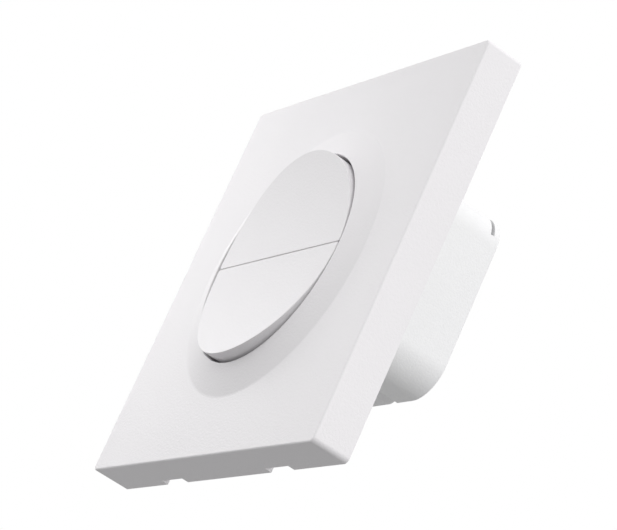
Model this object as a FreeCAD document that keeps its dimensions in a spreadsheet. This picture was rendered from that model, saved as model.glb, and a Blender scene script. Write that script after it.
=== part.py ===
import FreeCAD, Part
import math
import os
import Sketcher

# Wireless remote wall switch: a square faceplate with two half-round rocker buttons in a raised
# collar, the frame that is screwed to the wall box, and the in-wall module behind it.
#
# The origin is the centre of the wall plane, +Z is up and +X is to the right for someone who faces
# the switch. The front looks along -Y and the module reaches into the wall along +Y. A place in
# front of the wall is called a height (it lies at minus Y), a place in the wall is called a depth.

os.makedirs("parts", exist_ok=True)
doc = FreeCAD.newDocument("WallSwitch")

# Driving dimensions, in millimetres and degrees

DIMENSIONS = [
    ("plate_side", 86.0, "faceplate width and height"),
    ("plate_height", 8.2, "faceplate front above the wall"),
    ("plate_front_wall", 1.8, "faceplate front wall"),
    ("plate_side_wall", 1.2, "faceplate side wall"),
    ("plate_corner_radius", 1.1, "faceplate corner radius seen from the front"),
    ("plate_inner_radius", 0.4, "faceplate corners inside the walls"),
    ("plate_edge_radius", 0.4, "rounding round the faceplate front"),
    ("collar_foot_radius", 30.2, "where the collar leaves the flat front"),
    ("collar_bore_radius", 23.5, "bore that the buttons sit in"),
    ("collar_rise", 2.2, "collar rim above the flat front"),
    ("collar_skirt_wall", 1.4, "wall of the skirt round the bore"),
    ("collar_skirt_height", 5.2, "lower end of the skirt above the wall"),
    ("collar_edge_radius", 0.35, "rounding of the collar rim"),
    ("pry_notch_width", 8.3, "pry notch in the bottom edge"),
    ("pry_notch_depth", 1.5, "pry notch depth from the back edge"),
    ("pry_notch_offset", 20.35, "pry notch centre from the middle"),
    ("catch_width", 9.0, "snap catch of the faceplate"),
    ("catch_reach", 0.9, "catch ridge inside the faceplate"),
    ("catch_height", 1.0, "wall side of the catch ridge above the wall"),
    ("catch_thickness", 0.9, "thickness of ridge and lip"),
    ("catch_lead", 0.3, "slope that leads the ridge over the lip"),
    ("catch_play", 0.1, "play between ridge and lip"),
    ("button_gap", 0.4, "gap between button and bore"),
    ("button_split_gap", 0.2, "gap between the two buttons"),
    ("button_middle_height", 10.3, "button front at the split"),
    ("button_hollow_radius", 95.7, "radius of the hollow-curved front"),
    ("button_skirt_height", 6.2, "lower end of the button wall"),
    ("button_wall", 1.3, "button wall"),
    ("button_edge_radius", 0.2, "rounding round the button front"),
    ("button_corner_radius", 0.5, "rounding of the ends at the split"),
    ("pivot_offset", 3.2, "hinge axis from the split"),
    ("pivot_height", 6.6, "hinge axis above the wall"),
    ("pivot_pin_radius", 0.8, "hinge pin"),
    ("pivot_pin_length", 36.4, "hinge pin length"),
    ("pivot_play", 0.05, "play of the button on its pin"),
    ("pivot_seat_play", 0.02, "play of the pin in the carrier"),
    ("lug_inner", 13.0, "inner side of a button lug"),
    ("lug_thickness", 2.0, "button lug thickness"),
    ("lug_half_width", 1.4, "half width of lugs and ears"),
    ("lug_end_radius", 1.25, "rounding of the ends of lugs and ears"),
    ("ear_gap", 0.4, "side play between lug and ear"),
    ("ear_thickness", 2.2, "carrier ear thickness"),
    ("post_radius", 1.5, "post that presses the plunger"),
    ("post_play", 0.15, "play between post and plunger"),
    ("hook_half_width", 4.0, "half width of the stop hook"),
    ("hook_leg_outer", 21.9, "outer side of the hook leg"),
    ("hook_leg_thickness", 1.6, "hook leg thickness"),
    ("hook_reach", 1.4, "reach of the hook lip"),
    ("hook_lip_thickness", 0.8, "hook lip thickness"),
    ("hook_play", 0.1, "play between lip and ledge"),
    ("carrier_radius", 25.2, "button carrier outer radius"),
    ("carrier_base", 1.2, "carrier floor thickness"),
    ("carrier_ring_inner", 22.4, "inner radius of the carrier ring"),
    ("carrier_ring_height", 5.0, "top of the carrier ring above the wall"),
    ("carrier_ledge", 0.8, "ledge that stops the hooks"),
    ("carrier_play", 0.5, "room round switches and hooks in the carrier"),
    ("carrier_screw_offset", 20.5, "carrier screws from the middle"),
    ("spring_half_width", 1.5, "half width of the return spring strip"),
    ("spring_thickness", 0.25, "return spring strip"),
    ("spring_start", 13.4, "fixed end of the return spring"),
    ("spring_reach", 5.6, "length of the return spring foot"),
    ("spring_tip", 15.6, "where the spring touches the button"),
    ("spring_bend", 0.3, "set-back at the bends of the strip"),
    ("spring_play", 0.1, "play between spring and button"),
    ("frame_play", 0.5, "play between mounting frame and faceplate walls"),
    ("frame_thickness", 2.0, "mounting frame plate"),
    ("frame_corner_radius", 1.5, "mounting frame corners"),
    ("frame_rib_inset", 0.7, "rib from the frame edge"),
    ("frame_rib_wall", 1.2, "frame rib thickness"),
    ("frame_rib_height", 4.6, "top of the frame rib above the wall"),
    ("snap_lip_root", 0.2, "snap lips reach into the rib"),
    ("snap_lip_reach", 0.2, "snap lips past the frame edge"),
    ("snap_lip_overlap", 0.6, "snap lips past the ends of their recess"),
    ("frame_opening_half_width", 14.0, "half width of the frame opening"),
    ("frame_opening_bottom", 13.6, "frame opening below the middle"),
    ("frame_opening_top", 17.0, "frame opening above the middle"),
    ("wall_screw_spacing", 60.3, "wall screw slots, centre to centre"),
    ("wall_screw_radius", 2.1, "half width of a wall screw slot"),
    ("wall_slot_length", 8.0, "wall screw slot, end to end"),
    ("wall_slot_rim", 0.8, "raised rim round a wall screw slot"),
    ("wall_slot_rim_height", 0.4, "height of that rim"),
    ("boss_radius", 2.1, "screw boss on the frame back"),
    ("boss_length", 3.0, "screw boss length"),
    ("standoff_radius", 1.9, "pad that carries the switch board"),
    ("standoff_length", 0.5, "height of that pad"),
    ("housing_half_width", 26.0, "in-wall housing, half width"),
    ("housing_top", 23.0, "housing top above the middle"),
    ("housing_bottom", 17.0, "housing bottom below the middle"),
    ("housing_depth", 19.8, "housing depth into the wall"),
    ("housing_corner_radius", 7.0, "housing corners"),
    ("housing_edge_radius", 0.5, "rounding round the housing back"),
    ("housing_wall", 1.6, "housing wall"),
    ("housing_lap", 0.8, "step that the rear cover sits in"),
    ("housing_post_radius", 2.6, "corner posts"),
    ("housing_post_length", 6.4, "corner post length"),
    ("housing_post_inset", 4.7, "corner posts from the outer sides"),
    ("groove_offset", 12.25, "middle of the groove in the bottom"),
    ("groove_half_width", 1.65, "half width of that groove"),
    ("groove_depth", 0.9, "depth of that groove"),
    ("latch_rib_half_width", 18.5, "half width of the rib on the top"),
    ("latch_rib_depth", 16.2, "front of that rib in the wall"),
    ("latch_rib_width", 2.0, "width of that rib"),
    ("latch_rib_rise", 1.0, "rise of that rib"),
    ("corner_slot_depth", 17.4, "front of the corner slots in the wall"),
    ("corner_slot_width", 0.8, "width of the corner slots"),
    ("corner_slot_inner", 14.5, "inner end of the corner slots"),
    ("corner_slot_bottom", 18.1, "lower end of the corner slots"),
    ("cover_thickness", 1.2, "rear cover"),
    ("cover_play", 0.1, "play round the rear cover"),
    ("cover_rib_half_width", 12.0, "half width of the cover ribs"),
    ("cover_rib_thickness", 1.0, "thickness of the cover ribs"),
    ("cover_rib_length", 2.4, "length of the cover ribs"),
    ("board_thickness", 1.6, "both circuit boards"),
    ("board_play", 0.5, "room round the boards"),
    ("board_corner_radius", 2.0, "corners of the front board"),
    ("board_boss_play", 0.2, "front board from the bosses of the carrier screws"),
    ("board_screw_edge", 2.2, "front board screws from its sides"),
    ("board_screw_inset", 2.3, "front board screws from its ends"),
    ("tact_side", 6.0, "push switch body"),
    ("tact_body_height", 3.5, "push switch body height"),
    ("tact_offset", 10.0, "push switches from the middle"),
    ("tact_cover_thickness", 0.3, "metal cover of the push switch"),
    ("tact_leg_width", 0.7, "push switch legs"),
    ("tact_leg_length", 2.4, "push switch legs through the board"),
    ("tact_leg_offset", 2.0, "push switch legs from its middle"),
    ("plunger_radius", 1.7, "plunger"),
    ("plunger_play", 0.1, "play round the plunger"),
    ("plunger_rise", 1.3, "plunger above its body"),
    ("plunger_root", 1.4, "plunger inside its body"),
    ("plunger_room", 0.6, "free depth under the plunger"),
    ("screw_head_radius", 1.9, "pan heads"),
    ("screw_head_height", 1.3, "pan head height"),
    ("screw_shank_radius", 1.05, "screw shanks"),
    ("screw_length", 4.0, "screw length under the head"),
    ("board_screw_length", 3.2, "front board screw length"),
    ("board_pilot_depth", 2.0, "pilot holes for those screws"),
    ("countersink_radius", 2.3, "countersunk heads"),
    ("hole_play", 0.15, "play of a screw in its clearance hole"),
    ("radio_width", 12.0, "radio module width"),
    ("radio_length", 13.0, "radio module length"),
    ("radio_thickness", 0.8, "radio module board"),
    ("radio_offset", 0.5, "radio module above the middle"),
    ("shield_width", 9.0, "radio shield width"),
    ("shield_length", 9.0, "radio shield length"),
    ("shield_height", 2.0, "radio shield height"),
    ("shield_edge", 0.25, "chamfer round the shield"),
    ("antenna_radius", 0.4, "antenna wire"),
    ("antenna_foot", 0.7, "antenna wire soldered on the radio board"),
    ("antenna_reach", 5.0, "length of the antenna foot"),
    ("antenna_rise", 12.0, "height of the antenna arm"),
    ("antenna_bend", 2.0, "antenna bend radius"),
    ("header_offset", 14.0, "pin header from the middle"),
    ("header_pitch", 2.54, "pin header pitch"),
    ("header_pins", 6.0, "pins in the header"),
    ("header_pin_side", 0.64, "header pin"),
    ("header_height", 2.5, "plastic strip of the header"),
    ("relay_room", 3.8, "relays from the housing's side walls"),
    ("relay_width", 10.0, "relay width"),
    ("relay_clearance", 0.8, "relays below the rear cover"),
    ("relay_offset", 1.0, "relays from the middle line"),
    ("relay_bottom", 5.4, "lower side of the relays below the middle"),
    ("relay_edge", 0.6, "chamfer round the relay top"),
    ("relay_pin_inset", 3.0, "relay pins from its ends"),
    ("relay_pin_row", 2.0, "relay pins from its long sides"),
    ("relay_pin_radius", 0.64, "relay pins"),
    ("terminal_poles", 4.0, "terminals"),
    ("terminal_pitch", 7.5, "terminal spacing"),
    ("terminal_width", 8.4, "terminal block across"),
    ("terminal_bottom", 14.7, "lower side of the block below the middle"),
    ("terminal_clearance", 0.4, "terminal block below the rear cover"),
    ("wire_hole_side", 3.4, "wire hole"),
    ("wire_hole_offset", 2.2, "wire holes from the lower side of the block"),
    ("terminal_screw_offset", 6.3, "terminal screws from that side"),
    ("terminal_screw_radius", 1.5, "terminal screw heads"),
    ("terminal_screw_clearance", 0.8, "tips of the terminal screws from the floor of the cages"),
    ("terminal_screw_play", 0.1, "play round the terminal screws and cages"),
    ("terminal_kerf_width", 0.5, "slot in the terminal screws"),
    ("terminal_kerf_depth", 0.65, "depth of that slot"),
    ("clamp_clearance", 2.6, "clamp cages behind the power board"),
    ("clamp_wall", 0.5, "clamp cage wall"),
    ("clamp_depth", 2.6, "clamp cages below the top of the block"),
    ("core_length", 11.0, "transformer core length"),
    ("core_clearance", 1.6, "transformer below the rear cover"),
    ("core_thickness", 4.2, "transformer core stack"),
    ("core_varistor_gap", 2.8, "transformer from the varistor"),
    ("core_capacitor_gap", 2.9, "transformer from the filter capacitor"),
    ("core_bottom", 7.6, "transformer above the middle"),
    ("bobbin_flange", 1.0, "bobbin flanges"),
    ("bobbin_lift", 0.5, "bobbin above the board"),
    ("bobbin_inset", 2.3, "bobbin from the ends of the core"),
    ("winding_inset", 0.5, "winding inside the bobbin flanges"),
    ("capacitor_radius", 3.1, "filter capacitor"),
    ("capacitor_clearance", 1.2, "filter capacitor below the rear cover"),
    ("capacitor_rounding", 0.3, "rounding of the can and its groove"),
    ("capacitor_groove", 0.9, "groove above the foot"),
    ("capacitor_offset", 9.6, "capacitor right of the middle"),
    ("capacitor_level", 14.0, "capacitor above the middle"),
    ("fuse_radius", 1.6, "fuse"),
    ("fuse_length", 9.0, "fuse length"),
    ("fuse_edge", 3.0, "fuse from the housing's side wall"),
    ("fuse_level", 7.6, "fuse above the middle"),
    ("fuse_cap_length", 1.8, "fuse end caps"),
    ("varistor_radius", 3.6, "varistor disc"),
    ("varistor_thickness", 2.8, "varistor thickness"),
    ("varistor_wire_offset", 1.8, "varistor wires from its middle"),
    ("varistor_edge", 8.4, "varistor disc from the housing's side wall"),
    ("varistor_level", 11.5, "varistor above the middle"),
    ("part_lift", 0.3, "parts above the power board"),
    ("overshoot", 1.0, "how far a cut runs past what it cuts"),
]

sheet = doc.addObject("Spreadsheet::Sheet", "Sizes")
for row, (alias, number, note) in enumerate(DIMENSIONS, start=1):
    sheet.set(f"A{row}", note)
    sheet.set(f"B{row}", str(number))
    sheet.setAlias(f"B{row}", alias)
doc.recompute()


class Size:
    """A length with the sheet formula that gives it, so that sums of sizes stay bound."""

    def __init__(self, value, formula):
        self.value = value
        self.formula = formula

    def joined(self, sign, other, value):
        return Size(value, f"({self.formula} {sign} {other.formula})")

    def __add__(self, other):
        other = as_size(other)
        return self.joined("+", other, self.value + other.value)

    def __sub__(self, other):
        other = as_size(other)
        return self.joined("-", other, self.value - other.value)

    def __mul__(self, other):
        other = as_size(other)
        return self.joined("*", other, self.value * other.value)

    def __truediv__(self, other):
        other = as_size(other)
        return self.joined("/", other, self.value / other.value)

    def __rsub__(self, other):
        return as_size(other) - self

    def __neg__(self):
        return as_size(0) - self

    __rmul__ = __mul__
    __radd__ = __add__


def as_size(number):
    """Takes a plain number for a size that depends on nothing."""
    return number if isinstance(number, Size) else Size(float(number), repr(float(number)))


def root(size):
    """The square root of a size."""
    return Size(math.sqrt(size.value), f"sqrt({size.formula})")


def read(alias):
    """The size in the cell of that name."""
    return Size(float(sheet.get(alias)), f"Sizes.{alias}")


def bind(thing, prop, size):
    """Ties one property of an object to the sheet."""
    thing.setExpression(prop, as_size(size).formula)


# Sketches and features that several pieces use

def new_body(label):
    body = doc.addObject("PartDesign::Body", label)
    body.Label = label
    return body


def plane(body, role):
    """One of the body's own origin planes or axes, by its role."""
    return next(item for item in body.Origin.OriginFeatures if item.Role == role)


def new_sketch(body, purpose, role="XZ_Plane", offset=0):
    """A sketch on an origin plane. The XZ plane looks at the room, so its offset is a height."""
    sketch = body.newObject("Sketcher::SketchObject", f"{body.Label}_{purpose}")
    sketch.AttachmentSupport = [(plane(body, role), "")]
    sketch.MapMode = "FlatFace"
    bind(sketch, "AttachmentOffset.Base.z", offset)
    return sketch


# Tolerances of the edge tests

SAME_PLACE = 1e-4
ON_THE_SKIN = 0.05
PARALLEL = 0.999

waiting = {}


def constrain(sketch, size, *terms):
    """Notes a constraint, with the size that it takes if it has one."""
    number = [] if size is None else [size.value]
    constraint = Sketcher.Constraint(*terms, *number)
    waiting.setdefault(sketch.Name, []).append((constraint, size))


def settle(sketch):
    """Adds the noted constraints in one go and ties them to the sheet."""
    noted = waiting.pop(sketch.Name, [])
    places = sketch.addConstraint([constraint for constraint, size in noted])
    for index, (constraint, size) in zip(places, noted):
        if size is not None and "Sizes" in size.formula:
            sketch.setExpression(f"Constraints[{index}]", size.formula)


def place(sketch, curve, point, across, up):
    """Fixes a point of a curve by its distances from the sketch's origin."""
    constrain(sketch, as_size(across), "DistanceX", -1, 1, curve, point)
    constrain(sketch, as_size(up), "DistanceY", -1, 1, curve, point)


def join(sketch, kind, first, first_point, second, second_point):
    """Joins an end of one curve to an end of another: Coincident, or Tangent for a smooth joint."""
    constrain(sketch, None, kind, first, first_point, second, second_point)


def polygon(sketch, corners):
    """A closed outline through corners given as pairs of sizes."""
    corners = [(as_size(across), as_size(up)) for across, up in corners]
    spots = [FreeCAD.Vector(across.value, up.value, 0) for across, up in corners]
    first = sketch.GeometryCount
    count = len(corners)
    for index in range(count):
        sketch.addGeometry(Part.LineSegment(spots[index], spots[(index + 1) % count]))
    for index in range(count):
        following = first + (index + 1) % count
        join(sketch, "Coincident", first + index, 2, following, 1)
    for index, (across, up) in enumerate(corners):
        place(sketch, first + index, 1, across, up)


def rectangle(sketch, left, bottom, right, top):
    polygon(sketch, [(left, bottom), (right, bottom), (right, top), (left, top)])


def circle(sketch, across, up, radius):
    across, up = as_size(across), as_size(up)
    centre = FreeCAD.Vector(across.value, up.value, 0)
    normal = FreeCAD.Vector(0, 0, 1)
    curve = sketch.addGeometry(Part.Circle(centre, normal, radius.value))
    place(sketch, curve, 3, across, up)
    constrain(sketch, radius, "Radius", curve)


def rounded_rectangle(sketch, left, bottom, right, top, radius):
    """A rectangle whose corners are arcs of one radius."""
    left, bottom, right, top = (as_size(side) for side in (left, bottom, right, top))
    centres = [
        (right - radius, top - radius),
        (left + radius, top - radius),
        (left + radius, bottom + radius),
        (right - radius, bottom + radius),
    ]
    normal = FreeCAD.Vector(0, 0, 1)
    arcs = []
    for number, (across, up) in enumerate(centres):
        corner = Part.Circle(FreeCAD.Vector(across.value, up.value, 0), normal, radius.value)
        start = number * math.pi / 2
        arc = sketch.addGeometry(Part.ArcOfCircle(corner, start, start + math.pi / 2))
        place(sketch, arc, 3, across, up)
        constrain(sketch, radius, "Radius", arc)
        arcs.append(arc)
    for number, arc in enumerate(arcs):
        following = arcs[(number + 1) % 4]
        ends = [sketch.Geometry[arc].EndPoint, sketch.Geometry[following].StartPoint]
        side = sketch.addGeometry(Part.LineSegment(*ends))
        join(sketch, "Tangent", arc, 2, side, 1)
        join(sketch, "Tangent", side, 2, following, 1)


def slot(sketch, across, up, reach, radius):
    """A slot along the sketch's first axis, with its end centres at reach from its middle."""
    across, up = as_size(across), as_size(up)
    normal = FreeCAD.Vector(0, 0, 1)
    arcs = []
    for turn in (1, -1):
        end = across + reach * turn
        circle_there = Part.Circle(FreeCAD.Vector(end.value, up.value, 0), normal, radius.value)
        start = -math.pi / 2 if turn == 1 else math.pi / 2
        arc = sketch.addGeometry(Part.ArcOfCircle(circle_there, start, start + math.pi))
        place(sketch, arc, 3, end, up)
        arcs.append(arc)
    right, left = arcs
    edges = []
    for turn in (1, -1):
        level = up.value + turn * radius.value
        near = FreeCAD.Vector(across.value + turn * reach.value, level, 0)
        far = FreeCAD.Vector(across.value - turn * reach.value, level, 0)
        edges.append(sketch.addGeometry(Part.LineSegment(near, far)))
    top, bottom = edges
    for arc, line in ((right, top), (left, bottom)):
        join(sketch, "Tangent", arc, 2, line, 1)
    for arc, line in ((left, top), (right, bottom)):
        join(sketch, "Tangent", line, 2, arc, 1)
    constrain(sketch, radius, "Radius", right)


def half_disc(sketch, radius, chord, side):
    """A disc cut by a level chord, of which the part above (side 1) or below (-1) stays."""
    level = chord * side
    rise = math.asin(chord.value / radius.value)
    start, end = (rise, math.pi - rise) if side == 1 else (math.pi + rise, 2 * math.pi - rise)
    whole = Part.Circle(FreeCAD.Vector(0, 0, 0), FreeCAD.Vector(0, 0, 1), radius.value)
    arc = sketch.addGeometry(Part.ArcOfCircle(whole, start, end))
    spots = [
        FreeCAD.Vector(radius.value * math.cos(angle), level.value, 0) for angle in (end, start)
    ]
    line = sketch.addGeometry(Part.LineSegment(*spots))
    place(sketch, arc, 3, 0, 0)
    constrain(sketch, radius, "Radius", arc)
    join(sketch, "Coincident", arc, 2, line, 1)
    join(sketch, "Coincident", line, 2, arc, 1)
    for point in (1, 2):
        constrain(sketch, level, "DistanceY", -1, 1, line, point)


def extrude(kind, sketch, length, backwards, both):
    settle(sketch)
    body = sketch.getParentGeoFeatureGroup()
    feature = body.newObject(f"PartDesign::{kind}", f"{sketch.Label}_{kind.lower()}")
    feature.Profile = sketch
    bind(feature, "Length", length)
    feature.Reversed = backwards
    if both:
        feature.SideType = "Symmetric"
    doc.recompute()
    return feature


def pad(sketch, length, backwards=False, both=False):
    """Adds material along the sketch's normal: to the room for the XZ plane."""
    return extrude("Pad", sketch, length, backwards, both)


def pocket(sketch, length, backwards=False, both=False):
    """Cuts against the sketch's normal: into the wall for the XZ plane."""
    return extrude("Pocket", sketch, length, backwards, both)


def revolve(sketch, axis):
    """Turns a closed sketch right round one of its own axes or edges."""
    settle(sketch)
    body = sketch.getParentGeoFeatureGroup()
    feature = body.newObject("PartDesign::Revolution", f"{sketch.Label}_revolution")
    feature.Profile = sketch
    feature.ReferenceAxis = (sketch, [axis])
    feature.Angle = 360
    doc.recompute()
    return feature


def dress(kind, prop, size, purpose, base, wanted):
    """Rounds or chamfers the edges of a feature for which the test is true."""
    edges = [f"Edge{n}" for n, edge in enumerate(base.Shape.Edges, start=1) if wanted(edge)]
    body = base.getParentGeoFeatureGroup()
    feature = body.newObject(f"PartDesign::{kind}", f"{body.Label}_{purpose}")
    feature.Base = (base, edges)
    bind(feature, prop, size)
    doc.recompute()
    return feature


def fillet(purpose, base, radius, wanted):
    return dress("Fillet", "Radius", radius, purpose, base, wanted)


def chamfer(purpose, base, size, wanted):
    return dress("Chamfer", "Size", size, purpose, base, wanted)


def repeat(body, originals, kind, **settings):
    """A pattern or mirror of features, which becomes the body's result."""
    feature = body.newObject(f"PartDesign::{kind}", f"{originals[0].Label}_{kind.lower()}")
    feature.Originals = originals
    for name, value in settings.items():
        setattr(feature, name, value)
    body.Tip = feature
    doc.recompute()
    return feature


def mirror(body, originals):
    """The same features on the other side of the middle plane."""
    return repeat(body, originals, "Mirrored", MirrorPlane=(plane(body, "YZ_Plane"), [""]))


def half_turn(body, originals):
    """A second copy of features on the opposite side of the Y axis."""
    axis = (plane(body, "Y_Axis"), [""])
    return repeat(body, originals, "PolarPattern", Axis=axis, Angle=360, Occurrences=2)


def along_depth(edge):
    """A straight edge square to the wall."""
    return edge.Curve.TypeId == "Part::GeomLine" and abs(edge.Curve.Direction.y) > PARALLEL


def at_depth(edge, depth):
    """An edge that lies in one plane parallel to the wall."""
    box = edge.BoundBox
    return max(abs(box.YMin - depth), abs(box.YMax - depth)) < SAME_PLACE


# Primitives, placed by their centre line or low corner

def block(name, left, front, bottom, width, depth, height):
    """A box from its low corner; front is along Y, so a height counts as negative."""
    solid = doc.addObject("Part::Box", name)
    for prop, size in (
        ("Length", width),
        ("Width", depth),
        ("Height", height),
        ("Placement.Base.x", left),
        ("Placement.Base.y", front),
        ("Placement.Base.z", bottom),
    ):
        bind(solid, prop, size)
    return solid


TURNS = {
    "along_depth": FreeCAD.Rotation(FreeCAD.Vector(1, 0, 0), -90),
    "across": FreeCAD.Rotation(FreeCAD.Vector(0, 1, 0), 90),
}


def turned(kind, name, across, start, up, length, direction, **radii):
    """A cylinder or cone from the centre of its first end, along +Y or along +X."""
    solid = doc.addObject(f"Part::{kind}", name)
    solid.Placement = FreeCAD.Placement(FreeCAD.Vector(), TURNS[direction])
    for prop, size in (
        ("Placement.Base.x", across),
        ("Placement.Base.y", start),
        ("Placement.Base.z", up),
        ("Height", length),
        *radii.items(),
    ):
        bind(solid, prop, size)
    return solid


def cylinder(name, across, start, up, length, radius, direction="along_depth"):
    return turned("Cylinder", name, across, start, up, length, direction, Radius=radius)


def cone(name, across, start, up, length, first_radius, last_radius):
    radii = {"Radius1": first_radius, "Radius2": last_radius}
    return turned("Cone", name, across, start, up, length, "along_depth", **radii)


def fuse(label, pieces):
    solid = doc.addObject("Part::MultiFuse", label)
    solid.Label = label
    solid.Shapes = pieces
    solid.Refine = True
    return solid


def cut(label, base, tools):
    solid = doc.addObject("Part::Cut", label)
    solid.Label = label
    solid.Base = base
    solid.Tool = tools[0] if len(tools) == 1 else fuse(f"{label}_tools", tools)
    solid.Refine = True
    return solid


def group(label, pieces):
    """Like pieces that share one file as separate solids."""
    together = doc.addObject("Part::Compound", label)
    together.Label = label
    together.Links = pieces
    return together


# Places that several pieces share

plate_half = read("plate_side") / 2
plate_height = read("plate_height")
rim_height = plate_height + read("collar_rise")
frame_front = read("frame_thickness")
button_radius = read("collar_bore_radius") - read("button_gap")
chord_level = read("button_split_gap") / 2
carrier_floor = frame_front + read("carrier_base")
ledge_bottom = read("carrier_ring_height") - read("carrier_ledge")
lip_top = ledge_bottom - read("hook_play")
lip_bottom = lip_top - read("hook_lip_thickness")
ear_inner = read("lug_inner") + read("lug_thickness") + read("ear_gap")
board_front = read("standoff_length")
board_back = board_front + read("board_thickness")
tact_top = read("tact_body_height") - board_front
plunger_top = tact_top + read("plunger_rise")
post_bottom = plunger_top + read("post_play")
power_front = read("housing_post_length")
power_back = power_front + read("board_thickness")
cover_front = read("housing_depth") - read("cover_thickness")
inner_half_width = read("housing_half_width") - read("housing_wall")
inner_top = read("housing_top") - read("housing_wall")
inner_bottom = read("housing_bottom") - read("housing_wall")
post_across = read("housing_half_width") - read("housing_post_inset")
post_levels = [
    read("housing_post_inset") - read("housing_bottom"),
    read("housing_top") - read("housing_post_inset"),
]
board_top = inner_top - read("board_play")
board_bottom = read("board_play") - inner_bottom
board_half_width = read("carrier_screw_offset") - read("boss_radius") - read("board_boss_play")
board_screw_across = board_half_width - read("board_screw_edge")
board_screw_levels = [
    board_bottom + read("board_screw_inset"),
    board_top - read("board_screw_inset"),
]
frame_half = plate_half - read("plate_side_wall") - read("frame_play")
rib_outer = frame_half - read("frame_rib_inset")
ridge_tip = plate_half - read("plate_side_wall") - read("catch_reach")
ridge_top = read("catch_height") + read("catch_thickness")
lip_start = ridge_top + read("catch_play")
terminal_left = read("terminal_pitch") * read("terminal_poles") / -2
terminal_top = cover_front - read("terminal_clearance")
pole_places = [
    terminal_left + read("terminal_pitch") * (number + 0.5)
    for number in range(round(read("terminal_poles").value))
]
wire_level = read("wire_hole_offset") - read("terminal_bottom")
terminal_screw_level = read("terminal_screw_offset") - read("terminal_bottom")
cage_top = terminal_top - read("clamp_depth")
cage_start = power_back + read("clamp_clearance")
cage_height = cage_top - cage_start
varistor_left = read("varistor_edge") - inner_half_width
overshoot = read("overshoot")


def button_front(level):
    """Height of the hollow-curved button front at a distance from the split."""
    radius = read("button_hollow_radius")
    return read("button_middle_height") + radius - root(radius * radius - level * level)


def faceplate():
    """A square moulded cover with a thin wall, a conical collar and snap ridges inside."""
    body = new_body("faceplate")
    outline = new_sketch(body, "outline")
    rectangle(outline, -plate_half, -plate_half, plate_half, plate_half)
    plate = pad(outline, plate_height)
    corners = fillet("corners", plate, read("plate_corner_radius"), along_depth)
    front = -plate_height.value
    fillet("front_edge", corners, read("plate_edge_radius"), lambda edge: at_depth(edge, front))

    inside = new_sketch(body, "inside")
    inner = plate_half - read("plate_side_wall")
    rectangle(inside, -inner, -inner, inner, inner)
    hollow = pocket(inside, plate_height - read("plate_front_wall"), backwards=True)
    inner_reach = inner.value
    fillet(
        "inside_corners",
        hollow,
        read("plate_inner_radius"),
        lambda edge: along_depth(edge) and abs(abs(edge.valueAt(0).x) - inner_reach) < SAME_PLACE,
    )

    disc = new_sketch(body, "disc", offset=plate_height)
    circle(disc, 0, 0, read("collar_foot_radius"))
    pocket(disc, plate_height)
    profile = new_sketch(body, "collar", "YZ_Plane")
    bore = read("collar_bore_radius")
    skirt = bore + read("collar_skirt_wall")
    foot = read("collar_foot_radius")
    slope = read("collar_rise") / (foot - bore)
    under = plate_height - read("plate_front_wall")
    polygon(
        profile,
        [
            (-rim_height, bore),
            (-plate_height, foot),
            (-under, foot),
            (-(under + slope * (foot - skirt)), skirt),
            (-read("collar_skirt_height"), skirt),
            (-read("collar_skirt_height"), bore),
        ],
    )
    collar = revolve(profile, "H_Axis")
    fillet(
        "rim",
        collar,
        read("collar_edge_radius"),
        lambda edge: at_depth(edge, -rim_height.value),
    )

    foot_of_ridge = inner + read("plate_side_wall") / 2
    ridge_low = read("catch_height")
    ridge_slope = ridge_low + read("catch_lead")
    for number, sign in enumerate((1, -1)):
        ridge = new_sketch(body, f"ridge_{number}", "YZ_Plane", read("pry_notch_offset") * sign)
        polygon(
            ridge,
            [
                (-ridge_low, foot_of_ridge),
                (-ridge_low, inner),
                (-ridge_slope, ridge_tip),
                (-ridge_top, ridge_tip),
                (-ridge_top, foot_of_ridge),
            ],
        )
        catch = pad(ridge, read("catch_width"), both=True)
        half_turn(body, [catch])

    notch = new_sketch(body, "pry_notch")
    half = read("pry_notch_width") / 2
    middle = read("pry_notch_offset")
    rectangle(notch, middle - half, -plate_half - overshoot, middle + half, -inner)
    first_notch = pocket(notch, read("pry_notch_depth"), backwards=True)
    mirror(body, [first_notch])
    return body


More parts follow.
